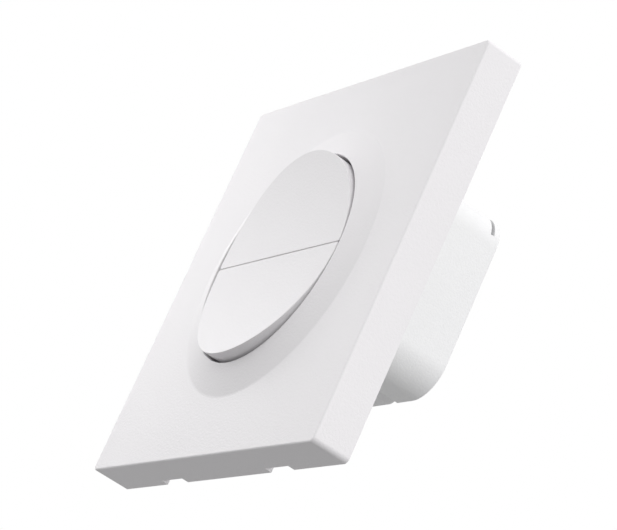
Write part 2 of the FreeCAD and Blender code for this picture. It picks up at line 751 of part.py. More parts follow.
def button(name, side):
    """Half of a round rocker with a hollow-curved front. Side 1 is the upper one, -1 the lower."""
    body = new_body(name)
    outline = new_sketch(body, "outline", offset=read("button_skirt_height"))
    half_disc(outline, button_radius, chord_level, side)
    crown = button_front(button_radius)
    pad(outline, crown - read("button_skirt_height") + overshoot)
    wall = read("button_wall")
    cavity = new_sketch(body, "cavity", offset=read("button_skirt_height"))
    half_disc(cavity, button_radius - wall, chord_level + wall, side)
    pocket(cavity, crown, backwards=True)
    cap = new_sketch(body, "cap", "YZ_Plane")
    cap_section(cap, wall, crown + overshoot, side)
    pad(cap, button_radius * 2, both=True)
    around = new_sketch(body, "around", offset=crown + overshoot)
    beyond = button_radius + overshoot
    rectangle(around, -beyond, -beyond, beyond, beyond)
    half_disc(around, button_radius, chord_level, side)
    pocket(around, crown + overshoot)
    front = new_sketch(body, "front", "YZ_Plane")
    sweep = read("button_hollow_radius")
    circle(front, -(read("button_middle_height") + sweep), 0, sweep)
    hollowed = pocket(front, beyond * 2, both=True)
    skirt_end = -read("button_skirt_height").value
    ends = fillet(
        "ends",
        hollowed,
        read("button_corner_radius"),
        lambda edge: along_depth(edge) and outer_edge(edge, side),
    )
    limit = skirt_end - overshoot.value
    fillet(
        "front_edge",
        ends,
        read("button_edge_radius"),
        lambda edge: edge.BoundBox.YMax < limit and outer_edge(edge, side),
    )

    post = new_sketch(body, "post", offset=post_bottom)
    circle(post, 0, read("tact_offset") * side, read("post_radius"))
    pad(post, read("button_middle_height") - post_bottom)

    centre = read("pivot_offset") * side
    half = read("lug_half_width")
    low = read("pivot_height") - half
    high = read("button_middle_height") - read("button_wall") / 2
    low_side = -low.value
    clear = read("carrier_play")
    for number, sign in enumerate((1, -1)):
        lug = new_sketch(body, f"lug_{number}", "YZ_Plane", read("lug_inner") * sign)
        rectangle(lug, -high, centre - half, -low, centre + half)
        raised = pad(lug, read("lug_thickness"), backwards=sign < 0)
        fillet(
            f"lug_ends_{number}",
            raised,
            read("lug_end_radius"),
            lambda edge: across_edge(edge)
            and abs(edge.valueAt(0).y - low_side) < SAME_PLACE
            and edge.valueAt(0).x * sign > 0,
        )
        eye = new_sketch(body, f"eye_{number}", "YZ_Plane", (read("lug_inner") - clear) * sign)
        circle(eye, -read("pivot_height"), centre, read("pivot_pin_radius") + read("pivot_play"))
        pocket(eye, read("lug_thickness") + clear * 2, backwards=sign > 0)

    hook = new_sketch(body, "hook", "YZ_Plane")
    leg_outer = read("hook_leg_outer")
    leg_inner = leg_outer - read("hook_leg_thickness")
    hook_tip = leg_outer + read("hook_reach")
    lip_middle = lip_bottom + read("hook_lip_thickness") / 2
    polygon(
        hook,
        [
            (-high, leg_inner * side),
            (-high, leg_outer * side),
            (-lip_top, leg_outer * side),
            (-lip_top, hook_tip * side),
            (-lip_middle, hook_tip * side),
            (-lip_bottom, leg_outer * side),
            (-lip_bottom, leg_inner * side),
        ],
    )
    pad(hook, read("hook_half_width") * 2, both=True)
    return body


def cap_section(sketch, wall, crown, side):
    """The section of a button's front wall: curved underneath, trimmed to its hollow later."""
    radius = read("button_hollow_radius") + wall
    centre = -(read("button_middle_height") + read("button_hollow_radius"))
    near = chord_level * side
    far = (button_radius - wall / 2) * side
    levels = [near, far] if side == 1 else [far, near]
    angles = [math.asin(level.value / radius.value) for level in levels]
    whole = Part.Circle(FreeCAD.Vector(centre.value, 0, 0), FreeCAD.Vector(0, 0, 1), radius.value)
    arc = sketch.addGeometry(Part.ArcOfCircle(whole, *angles))
    place(sketch, arc, 3, centre, 0)
    constrain(sketch, radius, "Radius", arc)
    low, high = levels
    spots = [
        sketch.Geometry[arc].EndPoint,
        FreeCAD.Vector(-crown.value, high.value, 0),
        FreeCAD.Vector(-crown.value, low.value, 0),
        sketch.Geometry[arc].StartPoint,
    ]
    lines = [sketch.addGeometry(Part.LineSegment(*pair)) for pair in zip(spots, spots[1:])]
    join(sketch, "Coincident", arc, 2, lines[0], 1)
    join(sketch, "Coincident", lines[0], 2, lines[1], 1)
    join(sketch, "Coincident", lines[1], 2, lines[2], 1)
    join(sketch, "Coincident", lines[2], 2, arc, 1)
    constrain(sketch, low, "DistanceY", -1, 1, arc, 1)
    constrain(sketch, high, "DistanceY", -1, 1, arc, 2)
    place(sketch, lines[1], 1, -crown, high)
    place(sketch, lines[2], 1, -crown, low)


def across_edge(edge):
    """A straight edge along X."""
    return edge.Curve.TypeId == "Part::GeomLine" and abs(edge.Curve.Direction.x) > PARALLEL


def outer_edge(edge, side):
    """An edge of the outer skin of a button: on its round side or on its chord."""
    middle = edge.valueAt((edge.FirstParameter + edge.LastParameter) / 2)
    on_round = abs(math.hypot(middle.x, middle.z) - button_radius.value) < ON_THE_SKIN
    on_chord = abs(middle.z * side - chord_level.value) < ON_THE_SKIN
    corner = read("button_corner_radius").value
    near_end = abs(middle.z * side - chord_level.value) < corner and (
        button_radius.value - abs(middle.x) < corner
    )
    return on_round or on_chord or near_end


def button_carrier():
    """A ring with a floor, bearing ears for both hinge pins and windows for the stop hooks."""
    body = new_body("button_carrier")
    radius = read("carrier_radius")
    floor = new_sketch(body, "floor", offset=frame_front)
    circle(floor, 0, 0, radius)
    pad(floor, read("carrier_base"))
    ring = new_sketch(body, "ring", offset=frame_front)
    circle(ring, 0, 0, radius)
    circle(ring, 0, 0, read("carrier_ring_inner"))
    pad(ring, read("carrier_ring_height") - frame_front)

    window = new_sketch(body, "hook_window", offset=frame_front)
    half = read("hook_half_width") + read("carrier_play")
    leg_inner = read("hook_leg_outer") - read("hook_leg_thickness") - read("carrier_play")
    tip = read("hook_leg_outer") + read("hook_reach") + read("carrier_play") / 2
    rectangle(window, -half, leg_inner, half, tip)
    first_window = pocket(window, ledge_bottom - frame_front, backwards=True)
    half_turn(body, [first_window])

    room = new_sketch(body, "switch_room", offset=frame_front)
    side = read("tact_side") / 2 + read("carrier_play") / 2
    rectangle(room, -side, read("tact_offset") - side, side, read("tact_offset") + side)
    first_room = pocket(room, read("carrier_base"), backwards=True)
    half_turn(body, [first_room])

    reach = read("pivot_offset") + read("lug_half_width")
    top = read("pivot_height") + read("lug_half_width")
    top_side = -top.value
    inner = read("pivot_offset") - read("lug_half_width")
    seat = read("pivot_pin_radius") + read("pivot_seat_play")
    cut_from = ear_inner - read("ear_gap") / 2
    cut_length = read("ear_thickness") + read("ear_gap")
    for number, sign in enumerate((1, -1)):
        ear = new_sketch(body, f"ears_{number}", "YZ_Plane", ear_inner * sign)
        rectangle(ear, -top, -reach, -frame_front, reach)
        raised = pad(ear, read("ear_thickness"), backwards=sign < 0)
        fillet(
            f"ear_tops_{number}",
            raised,
            read("lug_end_radius"),
            lambda edge: across_edge(edge)
            and abs(edge.valueAt(0).y - top_side) < SAME_PLACE
            and edge.valueAt(0).x * sign > 0,
        )
        bearings = new_sketch(body, f"bearings_{number}", "YZ_Plane", cut_from * sign)
        for level in (1, -1):
            circle(bearings, -read("pivot_height"), read("pivot_offset") * level, seat)
        pocket(bearings, cut_length, backwards=sign > 0)
        gap = new_sketch(body, f"ear_gap_{number}", "YZ_Plane", cut_from * sign)
        rectangle(gap, -(top + overshoot), -inner, -carrier_floor, inner)
        pocket(gap, cut_length, backwards=sign > 0)

    holes = new_sketch(body, "screw_holes", offset=frame_front)
    for sign in (1, -1):
        hole = read("screw_shank_radius") + read("hole_play")
        circle(holes, read("carrier_screw_offset") * sign, 0, hole)
    pocket(holes, read("carrier_base"), backwards=True)
    return body


def pivot_pin(name, side):
    """A plain steel pin across a button."""
    half = read("pivot_pin_length") / 2
    pin = cylinder(
        name,
        -half,
        -read("pivot_height"),
        read("pivot_offset") * side,
        read("pivot_pin_length"),
        read("pivot_pin_radius"),
        "across",
    )
    pin.Label = name
    return pin


def return_spring(name, side):
    """A bent strip of spring steel: a foot on the carrier and an arm up to the button."""
    body = new_body(name)
    thickness = read("spring_thickness")
    foot_end = read("spring_start") + read("spring_reach")
    tip = read("spring_tip")
    contact = button_front(tip) - read("button_wall") - read("spring_play")
    bend = read("spring_bend")
    strip = new_sketch(body, "strip", "YZ_Plane")
    polygon(
        strip,
        [
            (-carrier_floor, read("spring_start") * side),
            (-carrier_floor, foot_end * side),
            (-contact, (tip + bend) * side),
            (-contact, tip * side),
            (-(carrier_floor + thickness), (foot_end - bend) * side),
            (-(carrier_floor + thickness), read("spring_start") * side),
        ],
    )
    pad(strip, read("spring_half_width") * 2, both=True)
    return body


def pan_screw(name, across, head_start, up, length, inwards):
    """A screw with a pan head. Inwards is 1 for a screw driven from the room, else -1."""
    head = read("screw_head_height")
    shank = read("screw_shank_radius")
    head_from = head_start - head if inwards == 1 else head_start
    shank_from = head_start if inwards == 1 else head_start - length
    top = cylinder(f"{name}_head", across, head_from, up, head, read("screw_head_radius"))
    stem = cylinder(f"{name}_stem", across, shank_from, up, length, shank)
    return fuse(name, [top, stem])


def countersunk_screw(name, across, head_start, up):
    """A screw with a countersunk head that lies flush in the mounting frame."""
    shank = read("screw_shank_radius")
    depth = read("countersink_radius") - shank
    head = cone(f"{name}_head", across, head_start, up, depth, read("countersink_radius"), shank)
    stem = cylinder(f"{name}_stem", across, head_start + depth, up, read("screw_length"), shank)
    return fuse(name, [head, stem])


def mounting_frame():
    """The plate against the wall: screw slots, rib with snap lips, bosses and board pads."""
    body = new_body("mounting_frame")
    outline = new_sketch(body, "outline")
    rectangle(outline, -frame_half, -frame_half, frame_half, frame_half)
    plate = pad(outline, frame_front)
    fillet("corners", plate, read("frame_corner_radius"), along_depth)

    rib = new_sketch(body, "rib", offset=frame_front)
    rib_inner = rib_outer - read("frame_rib_wall")
    rectangle(rib, -rib_outer, -rib_outer, rib_outer, rib_outer)
    rectangle(rib, -rib_inner, -rib_inner, rib_inner, rib_inner)
    pad(rib, read("frame_rib_height") - frame_front)

    half = read("catch_width") / 2 + read("catch_play")
    recess = new_sketch(body, "ridge_recess")
    lips = new_sketch(body, "snap_lips", offset=frame_front)
    lip_half = half + read("snap_lip_overlap")
    lip_root = rib_outer - read("snap_lip_root")
    lip_reach = frame_half + read("snap_lip_reach")
    for sign in (1, -1):
        middle = read("pry_notch_offset") * sign
        for level in (1, -1):
            edges = (rib_outer * level, (frame_half + overshoot) * level)
            low, high = edges if level == 1 else edges[::-1]
            rectangle(recess, middle - half, low, middle + half, high)
            edges = (lip_root * level, lip_reach * level)
            low, high = edges if level == 1 else edges[::-1]
            rectangle(lips, middle - lip_half, low, middle + lip_half, high)
    pocket(recess, frame_front, backwards=True)
    pad(lips, read("catch_thickness"))

    opening = new_sketch(body, "opening")
    side = read("frame_opening_half_width")
    rectangle(opening, -side, -read("frame_opening_bottom"), side, read("frame_opening_top"))
    pocket(opening, frame_front, backwards=True)

    spacing = read("wall_screw_spacing") / 2
    reach = read("wall_slot_length") / 2 - read("wall_screw_radius")
    rims = new_sketch(body, "slot_rims", offset=frame_front)
    slots = new_sketch(body, "slots")
    for sign in (1, -1):
        slot(rims, spacing * sign, 0, reach, read("wall_screw_radius") + read("wall_slot_rim"))
        slot(slots, spacing * sign, 0, reach, read("wall_screw_radius"))
    pad(rims, read("wall_slot_rim_height"))
    pocket(slots, frame_front + read("wall_slot_rim_height"), backwards=True)

    bosses = new_sketch(body, "bosses")
    pilots = new_sketch(body, "boss_pilots", offset=frame_front)
    shank = read("screw_shank_radius")
    for sign in (1, -1):
        circle(bosses, read("carrier_screw_offset") * sign, 0, read("boss_radius"))
        circle(pilots, read("carrier_screw_offset") * sign, 0, shank)
    pad(bosses, read("boss_length"), backwards=True)
    pocket(pilots, frame_front + read("boss_length"))

    pads = new_sketch(body, "board_pads")
    board_pilots = new_sketch(body, "board_pilots", offset=-board_front)
    housing_holes = new_sketch(body, "housing_holes", offset=frame_front)
    for sign in (1, -1):
        for level in board_screw_levels:
            across = board_screw_across * sign
            circle(pads, across, level, read("standoff_radius"))
            circle(board_pilots, across, level, shank)
        for level in post_levels:
            circle(housing_holes, post_across * sign, level, shank)
    pad(pads, board_front, backwards=True)
    pocket(board_pilots, read("board_pilot_depth"), backwards=True)
    countersunk_holes(body, housing_holes, read("hole_play"))
    return body


def countersunk_holes(body, sketch, play):
    """Clearance holes through the frame with a 90 degree seat for the screw heads."""
    settle(sketch)
    doc.recompute()
    holes = body.newObject("PartDesign::Hole", f"{sketch.Label}_hole")
    holes.Profile = sketch
    doc.recompute()
    holes.DepthType = "ThroughAll"
    holes.HoleCutType = "Countersink"
    bind(holes, "Diameter", (read("screw_shank_radius") + play) * 2)
    holes.HoleCutCustomValues = True
    bind(holes, "HoleCutDiameter", (read("countersink_radius") + play) * 2)
    holes.HoleCutCountersinkAngle = 90
    doc.recompute()


def housing():
    """A deep sleeve with round corners, closed by the frame in front and the cover behind."""
    body = new_body("housing")
    half = read("housing_half_width")
    top = read("housing_top")
    bottom = read("housing_bottom")
    wall = read("housing_wall")
    outline = new_sketch(body, "outline")
    radius = read("housing_corner_radius")
    rounded_rectangle(outline, -half, -bottom, half, top, radius)
    solid = pad(outline, read("housing_depth"), backwards=True)
    back = read("housing_depth").value
    fillet("back_edge", solid, read("housing_edge_radius"), lambda edge: at_depth(edge, back))

    inside = new_sketch(body, "inside")
    rounded_rectangle(
        inside, -inner_half_width, -inner_bottom, inner_half_width, inner_top, radius - wall
    )
    pocket(inside, read("housing_depth"))
    step = new_sketch(body, "cover_step", offset=-read("housing_depth"))
    lap = read("housing_lap")
    half_step = inner_half_width + lap
    rounded_rectangle(
        step, -half_step, -(inner_bottom + lap), half_step, inner_top + lap, radius - wall + lap
    )
    pocket(step, read("cover_thickness"), backwards=True)

    posts = new_sketch(body, "posts")
    pilots = new_sketch(body, "post_pilots")
    for sign in (1, -1):
        for level in post_levels:
            circle(posts, post_across * sign, level, read("housing_post_radius"))
            circle(pilots, post_across * sign, level, read("screw_shank_radius"))
    pad(posts, read("housing_post_length"), backwards=True)
    pocket(pilots, read("housing_post_length"))

    groove = new_sketch(body, "groove")
    middle = read("groove_offset")
    polygon(
        groove,
        [
            (middle - read("groove_half_width"), -bottom),
            (middle, read("groove_depth") - bottom),
            (middle + read("groove_half_width"), -bottom),
            (middle, -bottom - overshoot),
        ],
    )
    pocket(groove, read("housing_depth"))

    rib = new_sketch(body, "latch_rib", offset=-read("latch_rib_depth"))
    rib_half = read("latch_rib_half_width")
    rectangle(rib, -rib_half, top - wall / 2, rib_half, top + read("latch_rib_rise"))
    pad(rib, read("latch_rib_width"), backwards=True)

    corner = new_sketch(body, "corner_slot", offset=-read("corner_slot_depth"))
    beyond = top + read("latch_rib_rise") + overshoot
    rectangle(
        corner, read("corner_slot_inner"), read("corner_slot_bottom"), half + overshoot, beyond
    )
    first_slot = pocket(corner, read("corner_slot_width"))
    mirror(body, [first_slot])
    return body


def rear_cover():
    """The lid of the housing, with holes for the mains wires and the terminal screws."""
    body = new_body("rear_cover")
    lap = read("housing_lap") - read("cover_play")
    half = inner_half_width + lap
    outline = new_sketch(body, "outline", offset=-cover_front)
    rectangle(outline, -half, -(inner_bottom + lap), half, inner_top + lap)
    plate = pad(outline, read("cover_thickness"), backwards=True)
    radius = read("housing_corner_radius") - read("housing_wall") + lap
    fillet("corners", plate, radius, along_depth)

    ribs = new_sketch(body, "ribs", offset=-cover_front)
    rib_half = read("cover_rib_half_width")
    thick = read("cover_rib_thickness")
    gap = read("cover_play")
    rectangle(ribs, -rib_half, inner_top - gap - thick, rib_half, inner_top - gap)
    low = gap - inner_bottom
    terminal_low = -read("terminal_bottom")
    rectangle(ribs, -rib_half, low, rib_half, terminal_low - gap)
    pad(ribs, read("cover_rib_length"))

    holes = new_sketch(body, "terminal_holes", offset=-read("housing_depth"))
    for place_across in pole_places:
        circle(holes, place_across, wire_level, read("wire_hole_side") / 2)
        circle(holes, place_across, terminal_screw_level, read("terminal_screw_radius"))
    pocket(holes, read("cover_thickness"), backwards=True)
    return body


def switch_board():
    """The front circuit board."""
    body = new_body("switch_board")
    outline = new_sketch(body, "outline", offset=-board_front)
    half = board_half_width
    rectangle(outline, -half, board_bottom, half, board_top)
    plate = pad(outline, read("board_thickness"), backwards=True)
    fillet("corners", plate, read("board_corner_radius"), along_depth)
    holes = new_sketch(body, "holes", offset=-board_front)
    for sign in (1, -1):
        for level in board_screw_levels:
            radius = read("screw_shank_radius") + read("hole_play")
            circle(holes, board_screw_across * sign, level, radius)
        for side in (1, -1):
            for leg in (1, -1):
                across = read("tact_side") / 2 * sign
                up = read("tact_offset") * side + read("tact_leg_offset") * leg
                circle(holes, across, up, read("tact_leg_width") / 2 + read("hole_play"))
    pocket(holes, read("board_thickness"))
    return body


def tact_switch(name, side):
    """A small push switch: plastic body, metal cover, four legs and a well for the plunger."""
    half = read("tact_side") / 2
    level = read("tact_offset") * side
    cover = read("tact_cover_thickness")
    body_part = block(
        f"{name}_body",
        -half,
        cover - tact_top,
        level - half,
        half * 2,
        tact_top + board_front - cover,
        half * 2,
    )
    lid_half = half - cover
    lid = block(
        f"{name}_cover", -lid_half, -tact_top, level - lid_half, lid_half * 2, cover, lid_half * 2
    )
    well_length = read("plunger_root") + read("plunger_room")
    well = cylinder(
        f"{name}_well",
        0,
        -(tact_top + overshoot),
        level,
        well_length + overshoot,
        read("plunger_radius") + read("plunger_play"),
    )
    pieces = [body_part, lid]
    for sign in (1, -1):
        for leg in (1, -1):
            pieces.append(
                cylinder(
                    f"{name}_leg_{sign + 1}_{leg + 1}",
                    half * sign,
                    0,
                    level + read("tact_leg_offset") * leg,
                    read("tact_leg_length"),
                    read("tact_leg_width") / 2,
                )
            )
    return cut(name, fuse(f"{name}_whole", pieces), [well])


def plunger(name, side):
    """The round plunger of a push switch."""
    length = read("plunger_rise") + read("plunger_root")
    solid = cylinder(
        name, 0, -plunger_top, read("tact_offset") * side, length, read("plunger_radius")
    )
    solid.Label = name
    return solid


def radio_module():
    """The small receiver board on the back of the front board."""
    half = read("radio_width") / 2
    low = read("radio_offset") - read("radio_length") / 2
    return block(
        "radio_module",
        -half,
        board_back,
        low,
        read("radio_width"),
        read("radio_thickness"),
        read("radio_length"),
    )


def radio_shield():
    """The tin can over the receiver, with a chamfered top."""
    body = new_body("radio_shield")
    outline = new_sketch(body, "outline", offset=-(board_back + read("radio_thickness")))
    half = read("shield_width") / 2
    low = read("radio_offset") - read("shield_length") / 2
    rectangle(outline, -half, low, half, low + read("shield_length"))
    can = pad(outline, read("shield_height"), backwards=True)
    top = (board_back + read("radio_thickness") + read("shield_height")).value
    chamfer("edge", can, read("shield_edge"), lambda edge: at_depth(edge, top))
    return body


def antenna():
    """A bent wire: out from the radio board, round a bend and up."""
    body = new_body("antenna")
    radius = read("antenna_radius")
    depth = board_back + read("radio_thickness") + radius
    bend = read("antenna_bend")
    start = read("radio_width") / 2 - read("antenna_foot")
    level = read("radio_offset") - read("radio_length") / 2 + radius * 2
    turn = start + read("antenna_reach") - bend
    top = level + read("antenna_rise")

    path = new_sketch(body, "path", offset=-depth)
    foot_ends = [(start, level), (turn, level)]
    arm_ends = [(turn + bend, level + bend), (turn + bend, top)]
    foot, arm = (
        path.addGeometry(
            Part.LineSegment(*(FreeCAD.Vector(across.value, up.value, 0) for across, up in ends))
        )
        for ends in (foot_ends, arm_ends)
    )
    corner = FreeCAD.Vector(turn.value, (level + bend).value, 0)
    whole = Part.Circle(corner, FreeCAD.Vector(0, 0, 1), bend.value)
    arc = path.addGeometry(Part.ArcOfCircle(whole, -math.pi / 2, 0))
    join(path, "Tangent", foot, 2, arc, 1)
    join(path, "Tangent", arc, 2, arm, 1)
    place(path, foot, 1, start, level)
    place(path, arc, 3, turn, level + bend)
    constrain(path, bend, "Radius", arc)
    constrain(path, top, "DistanceY", -1, 1, arm, 2)
    settle(path)
    section = new_sketch(body, "section", "YZ_Plane", start)
    circle(section, depth, level, radius)
    settle(section)
    wire = body.newObject("PartDesign::AdditivePipe", "antenna_wire")
    wire.Profile = section
    wire.Spine = path
    doc.recompute()
    return body


def board_header():
    """A strip of pins that links the two boards."""
    across = read("header_offset")
    pitch = read("header_pitch")
    count = round(read("header_pins").value)
    strip_half = pitch / 2
    low = pitch * read("header_pins") / -2
    pieces = [
        block(
            "board_header_strip",
            -across - strip_half,
            board_back,
            low,
            strip_half * 2,
            read("header_height"),
            pitch * read("header_pins"),
        )
    ]
    side = read("header_pin_side")
    for number in range(count):
        level = low + pitch * (number + 0.5)
        pieces.append(
            block(
                f"board_header_pin_{number}",
                -across - side / 2,
                board_back,
                level - side / 2,
                side,
                power_front - board_back,
                side,
            )
        )
    return fuse("board_header", pieces)


def power_board():
    """The rear circuit board, carried by the housing's corner posts."""
    body = new_body("power_board")
    play = read("board_play")
    half = inner_half_width - play
    outline = new_sketch(body, "outline", offset=-power_front)
    rectangle(outline, -half, board_bottom, half, board_top)
    plate = pad(outline, read("board_thickness"), backwards=True)
    radius = read("housing_corner_radius") - read("housing_wall") - play
    fillet("corners", plate, radius, along_depth)
    holes = new_sketch(body, "holes", offset=-power_front)
    for sign in (1, -1):
        for level in post_levels:
            hole = read("screw_shank_radius") + read("hole_play")
            circle(holes, post_across * sign, level, hole)
    pocket(holes, read("board_thickness"))
    return body


def relay(name, side):
    """A flat relay in a plastic case with a chamfered top, on two rows of pins."""
    body = new_body(name)
    bottom = -read("relay_bottom")
    inner = read("relay_offset")
    outer = inner_half_width - read("relay_room")
    left, right = (inner, outer) if side == 1 else (-outer, -inner)
    lifted = power_back + read("part_lift")
    outline = new_sketch(body, "outline", offset=-lifted)
    rectangle(outline, left, bottom, right, bottom + read("relay_width"))
    height = cover_front - power_back - read("relay_clearance")
    case = pad(outline, height - read("part_lift"), backwards=True)
    top = (power_back + height).value
    chamfer("top", case, read("relay_edge"), lambda edge: at_depth(edge, top))
    pins = new_sketch(body, "pins", offset=-lifted)
    rows = (bottom + read("relay_pin_row"), bottom + read("relay_width") - read("relay_pin_row"))
    for across in (left + read("relay_pin_inset"), right - read("relay_pin_inset")):
        for level in rows:
            circle(pins, across, level, read("relay_pin_radius"))
    pad(pins, read("part_lift"))
    return body


def terminal_block():
    """The moulded block with a wire hole and a screw well for each pole."""
    body = new_body("terminal_block")
    bottom = -read("terminal_bottom")
    outline = new_sketch(body, "outline", offset=-power_back)
    rectangle(outline, terminal_left, bottom, -terminal_left, bottom + read("terminal_width"))
    pad(outline, terminal_top - power_back, backwards=True)
    wells = new_sketch(body, "wells", offset=-terminal_top)
    cage = read("wire_hole_side") / 2
    for across in pole_places:
        rectangle(
            wells,
            across - cage,
            wire_level - cage,
            across + cage,
            terminal_screw_level + read("terminal_screw_radius"),
        )
    pocket(wells, terminal_top - cage_start, backwards=True)
    return body


def terminal_clamps():
    """Brass cages that hold the mains wires."""
    play = read("terminal_screw_play")
    half = read("wire_hole_side") / 2 - play
    low = wire_level - half
    high = terminal_screw_level + read("terminal_screw_radius") - play
    wall = read("clamp_wall")
    cages = []
    for number, across in enumerate(pole_places):
        outer = block(
            f"clamp_{number}_outer",
            across - half,
            cage_start,
            low,
            half * 2,
            cage_height,
            high - low,
        )
        inner = block(
            f"clamp_{number}_inner",
            across - half + wall,
            cage_start + wall,
            low + wall,
            (half - wall) * 2,
            cage_height,
            wire_level + half - low - wall,
        )
        thread = cylinder(
            f"clamp_{number}_thread",
            across,
            cage_start + wall,
            terminal_screw_level,
            cage_height,
            read("screw_shank_radius"),
        )
        cages.append(cut(f"clamp_{number}", outer, [inner, thread]))
    return group("terminal_clamps", cages)


def terminal_screws():
    """Slotted screws in the cages."""
    head = read("screw_head_height")
    stem_length = cage_height - read("clamp_wall") - read("terminal_screw_clearance")
    screws = []
    for number, across in enumerate(pole_places):
        name = f"terminal_screw_{number}"
        top = cylinder(
            f"{name}_head",
            across,
            cage_top,
            terminal_screw_level,
            head,
            read("terminal_screw_radius") - read("terminal_screw_play"),
        )
        stem = cylinder(
            f"{name}_stem",
            across,
            cage_top - stem_length,
            terminal_screw_level,
            stem_length,
            read("screw_shank_radius") - read("pivot_seat_play"),
        )
        kerf = block(
            f"{name}_kerf",
            across - head,
            cage_top + head - read("terminal_kerf_depth"),
            terminal_screw_level - read("terminal_kerf_width") / 2,
            head * 2,
            head,
            read("terminal_kerf_width"),
        )
        screws.append(cut(name, fuse(f"{name}_whole", [top, stem]), [kerf]))
    return group("terminal_screws", screws)


def transformer():
    """A ferrite core with its winding on a flanged bobbin."""
    left = varistor_left + read("varistor_thickness") + read("core_varistor_gap")
    right = read("capacitor_offset") - read("capacitor_radius") - read("core_capacitor_gap")
    core_width = right - left
    bottom = read("core_bottom")
    height = cover_front - power_back - read("core_clearance")
    flange = read("bobbin_flange")
    lift = read("bobbin_lift")
    bobbin_left = left + read("bobbin_inset")
    bobbin_width = core_width - read("bobbin_inset") * 2
    inset = read("winding_inset")
    core_low = bottom + (read("core_length") - read("core_thickness")) / 2
    core = block(
        "transformer_core",
        left,
        power_back,
        core_low,
        core_width,
        height,
        read("core_thickness"),
    )
    winding = block(
        "transformer_winding",
        bobbin_left + inset,
        power_back + lift + flange,
        bottom + inset,
        bobbin_width - inset * 2,
        height - (lift + flange) * 2,
        read("core_length") - inset * 2,
    )
    pieces = [core, winding]
    for number, offset in enumerate((lift, height - lift - flange)):
        pieces.append(
            block(
                f"transformer_flange_{number}",
                bobbin_left,
                power_back + offset,
                bottom,
                bobbin_width,
                flange,
                read("core_length"),
            )
        )
    return fuse("transformer", pieces)


def filter_capacitor():
    """An upright can with a rolled groove near its foot."""
    body = new_body("filter_capacitor")
    radius = read("capacitor_radius")
    height = cover_front - power_back - read("capacitor_clearance")
    profile = new_sketch(body, "profile", "XY_Plane", read("capacitor_level"))
    across = read("capacitor_offset")
    foot = power_back
    rounding = read("capacitor_rounding")
    groove = foot + read("capacitor_groove")
    polygon(
        profile,
        [
            (across, foot),
            (across + radius, foot),
            (across + radius, groove),
            (across + radius - rounding, groove + rounding),
            (across + radius, groove + rounding * 2),
            (across + radius, foot + height - rounding),
            (across + radius - rounding, foot + height),
            (across, foot + height),
        ],
    )
    revolve(profile, "Edge8")
    return body


def fuse_link():
    """A glass fuse with metal end caps, lying on the rear board."""
    radius = read("fuse_radius")
    cap = read("fuse_cap_length")
    start = inner_half_width - read("fuse_edge") - read("fuse_length")
    centre = power_back + radius + read("part_lift") / 2
    level = read("fuse_level")
    glass = cylinder(
        "fuse_glass",
        start,
        centre,
        level,
        read("fuse_length"),
        radius - read("part_lift") / 2,
        "across",
    )
    pieces = [glass]
    for number, offset in enumerate((as_size(0), read("fuse_length") - cap)):
        pieces.append(
            cylinder(f"fuse_cap_{number}", start + offset, centre, level, cap, radius, "across")
        )
        foot_side = read("header_pin_side")
        pieces.append(
            block(
                f"fuse_foot_{number}",
                start + offset + cap / 2 - foot_side / 2,
                power_back,
                level - foot_side / 2,
                foot_side,
                radius,
                foot_side,
            )
        )
    return fuse("fuse", pieces)


def varistor():
    """A coated disc that stands on the rear board on two wires."""
    radius = read("varistor_radius")
    thick = read("varistor_thickness")
    left = varistor_left
    centre = power_back + read("part_lift") + radius
    level = read("varistor_level")
    disc = cylinder("varistor_disc", left, centre, level, thick, radius, "across")
    pieces = [disc]
    wire = read("header_pin_side")
    for number, sign in enumerate((1, -1)):
        pieces.append(
            block(
                f"varistor_wire_{number}",
                left + (thick - wire) / 2,
                power_back,
                level + read("varistor_wire_offset") * sign - wire / 2,
                wire,
                radius,
                wire,
            )
        )
    return fuse("varistor", pieces)


def screw_sets():
    """Fasteners, each set in one file."""
    sets = []
    carrier = [
        pan_screw(
            f"carrier_screw_{number}",
            read("carrier_screw_offset") * sign,
            -carrier_floor,
            0,
            read("screw_length"),
            1,
        )
        for number, sign in enumerate((1, -1))
    ]
    sets.append(group("carrier_screws", carrier))
    corners = [(sign, level) for sign in (1, -1) for level in (0, 1)]
    board = [
        pan_screw(
            f"switch_board_screw_{number}",
            board_screw_across * sign,
            board_back,
            board_screw_levels[level],
            read("board_screw_length"),
            -1,
        )
        for number, (sign, level) in enumerate(corners)
    ]
    sets.append(group("switch_board_screws", board))
    power = [
        pan_screw(
            f"power_board_screw_{number}",
            post_across * sign,
            power_back,
            post_levels[level],
            read("screw_length") + read("hole_play"),
            -1,
        )
        for number, (sign, level) in enumerate(corners)
    ]
    sets.append(group("power_board_screws", power))
    flush = [
        countersunk_screw(
            f"housing_screw_{number}", post_across * sign, -frame_front, post_levels[level]
        )
        for number, (sign, level) in enumerate(corners)
    ]
    sets.append(group("housing_screws", flush))
    return sets


nodes = [
    faceplate(),
    button("upper_button", 1),
    button("lower_button", -1),
    button_carrier(),
    pivot_pin("upper_pivot_pin", 1),
    pivot_pin("lower_pivot_pin", -1),
    return_spring("upper_return_spring", 1),
    return_spring("lower_return_spring", -1),
    mounting_frame(),
    housing(),
    rear_cover(),
    switch_board(),
    tact_switch("upper_tact_switch", 1),
    tact_switch("lower_tact_switch", -1),
    plunger("upper_plunger", 1),
    plunger("lower_plunger", -1),
    radio_module(),
    radio_shield(),
    antenna(),
    board_header(),
    power_board(),
    relay("left_relay", -1),
    relay("right_relay", 1),
    terminal_block(),
    terminal_clamps(),
    terminal_screws(),
    transformer(),
    filter_capacitor(),
    fuse_link(),
    varistor(),
    *screw_sets(),
]
doc.recompute()

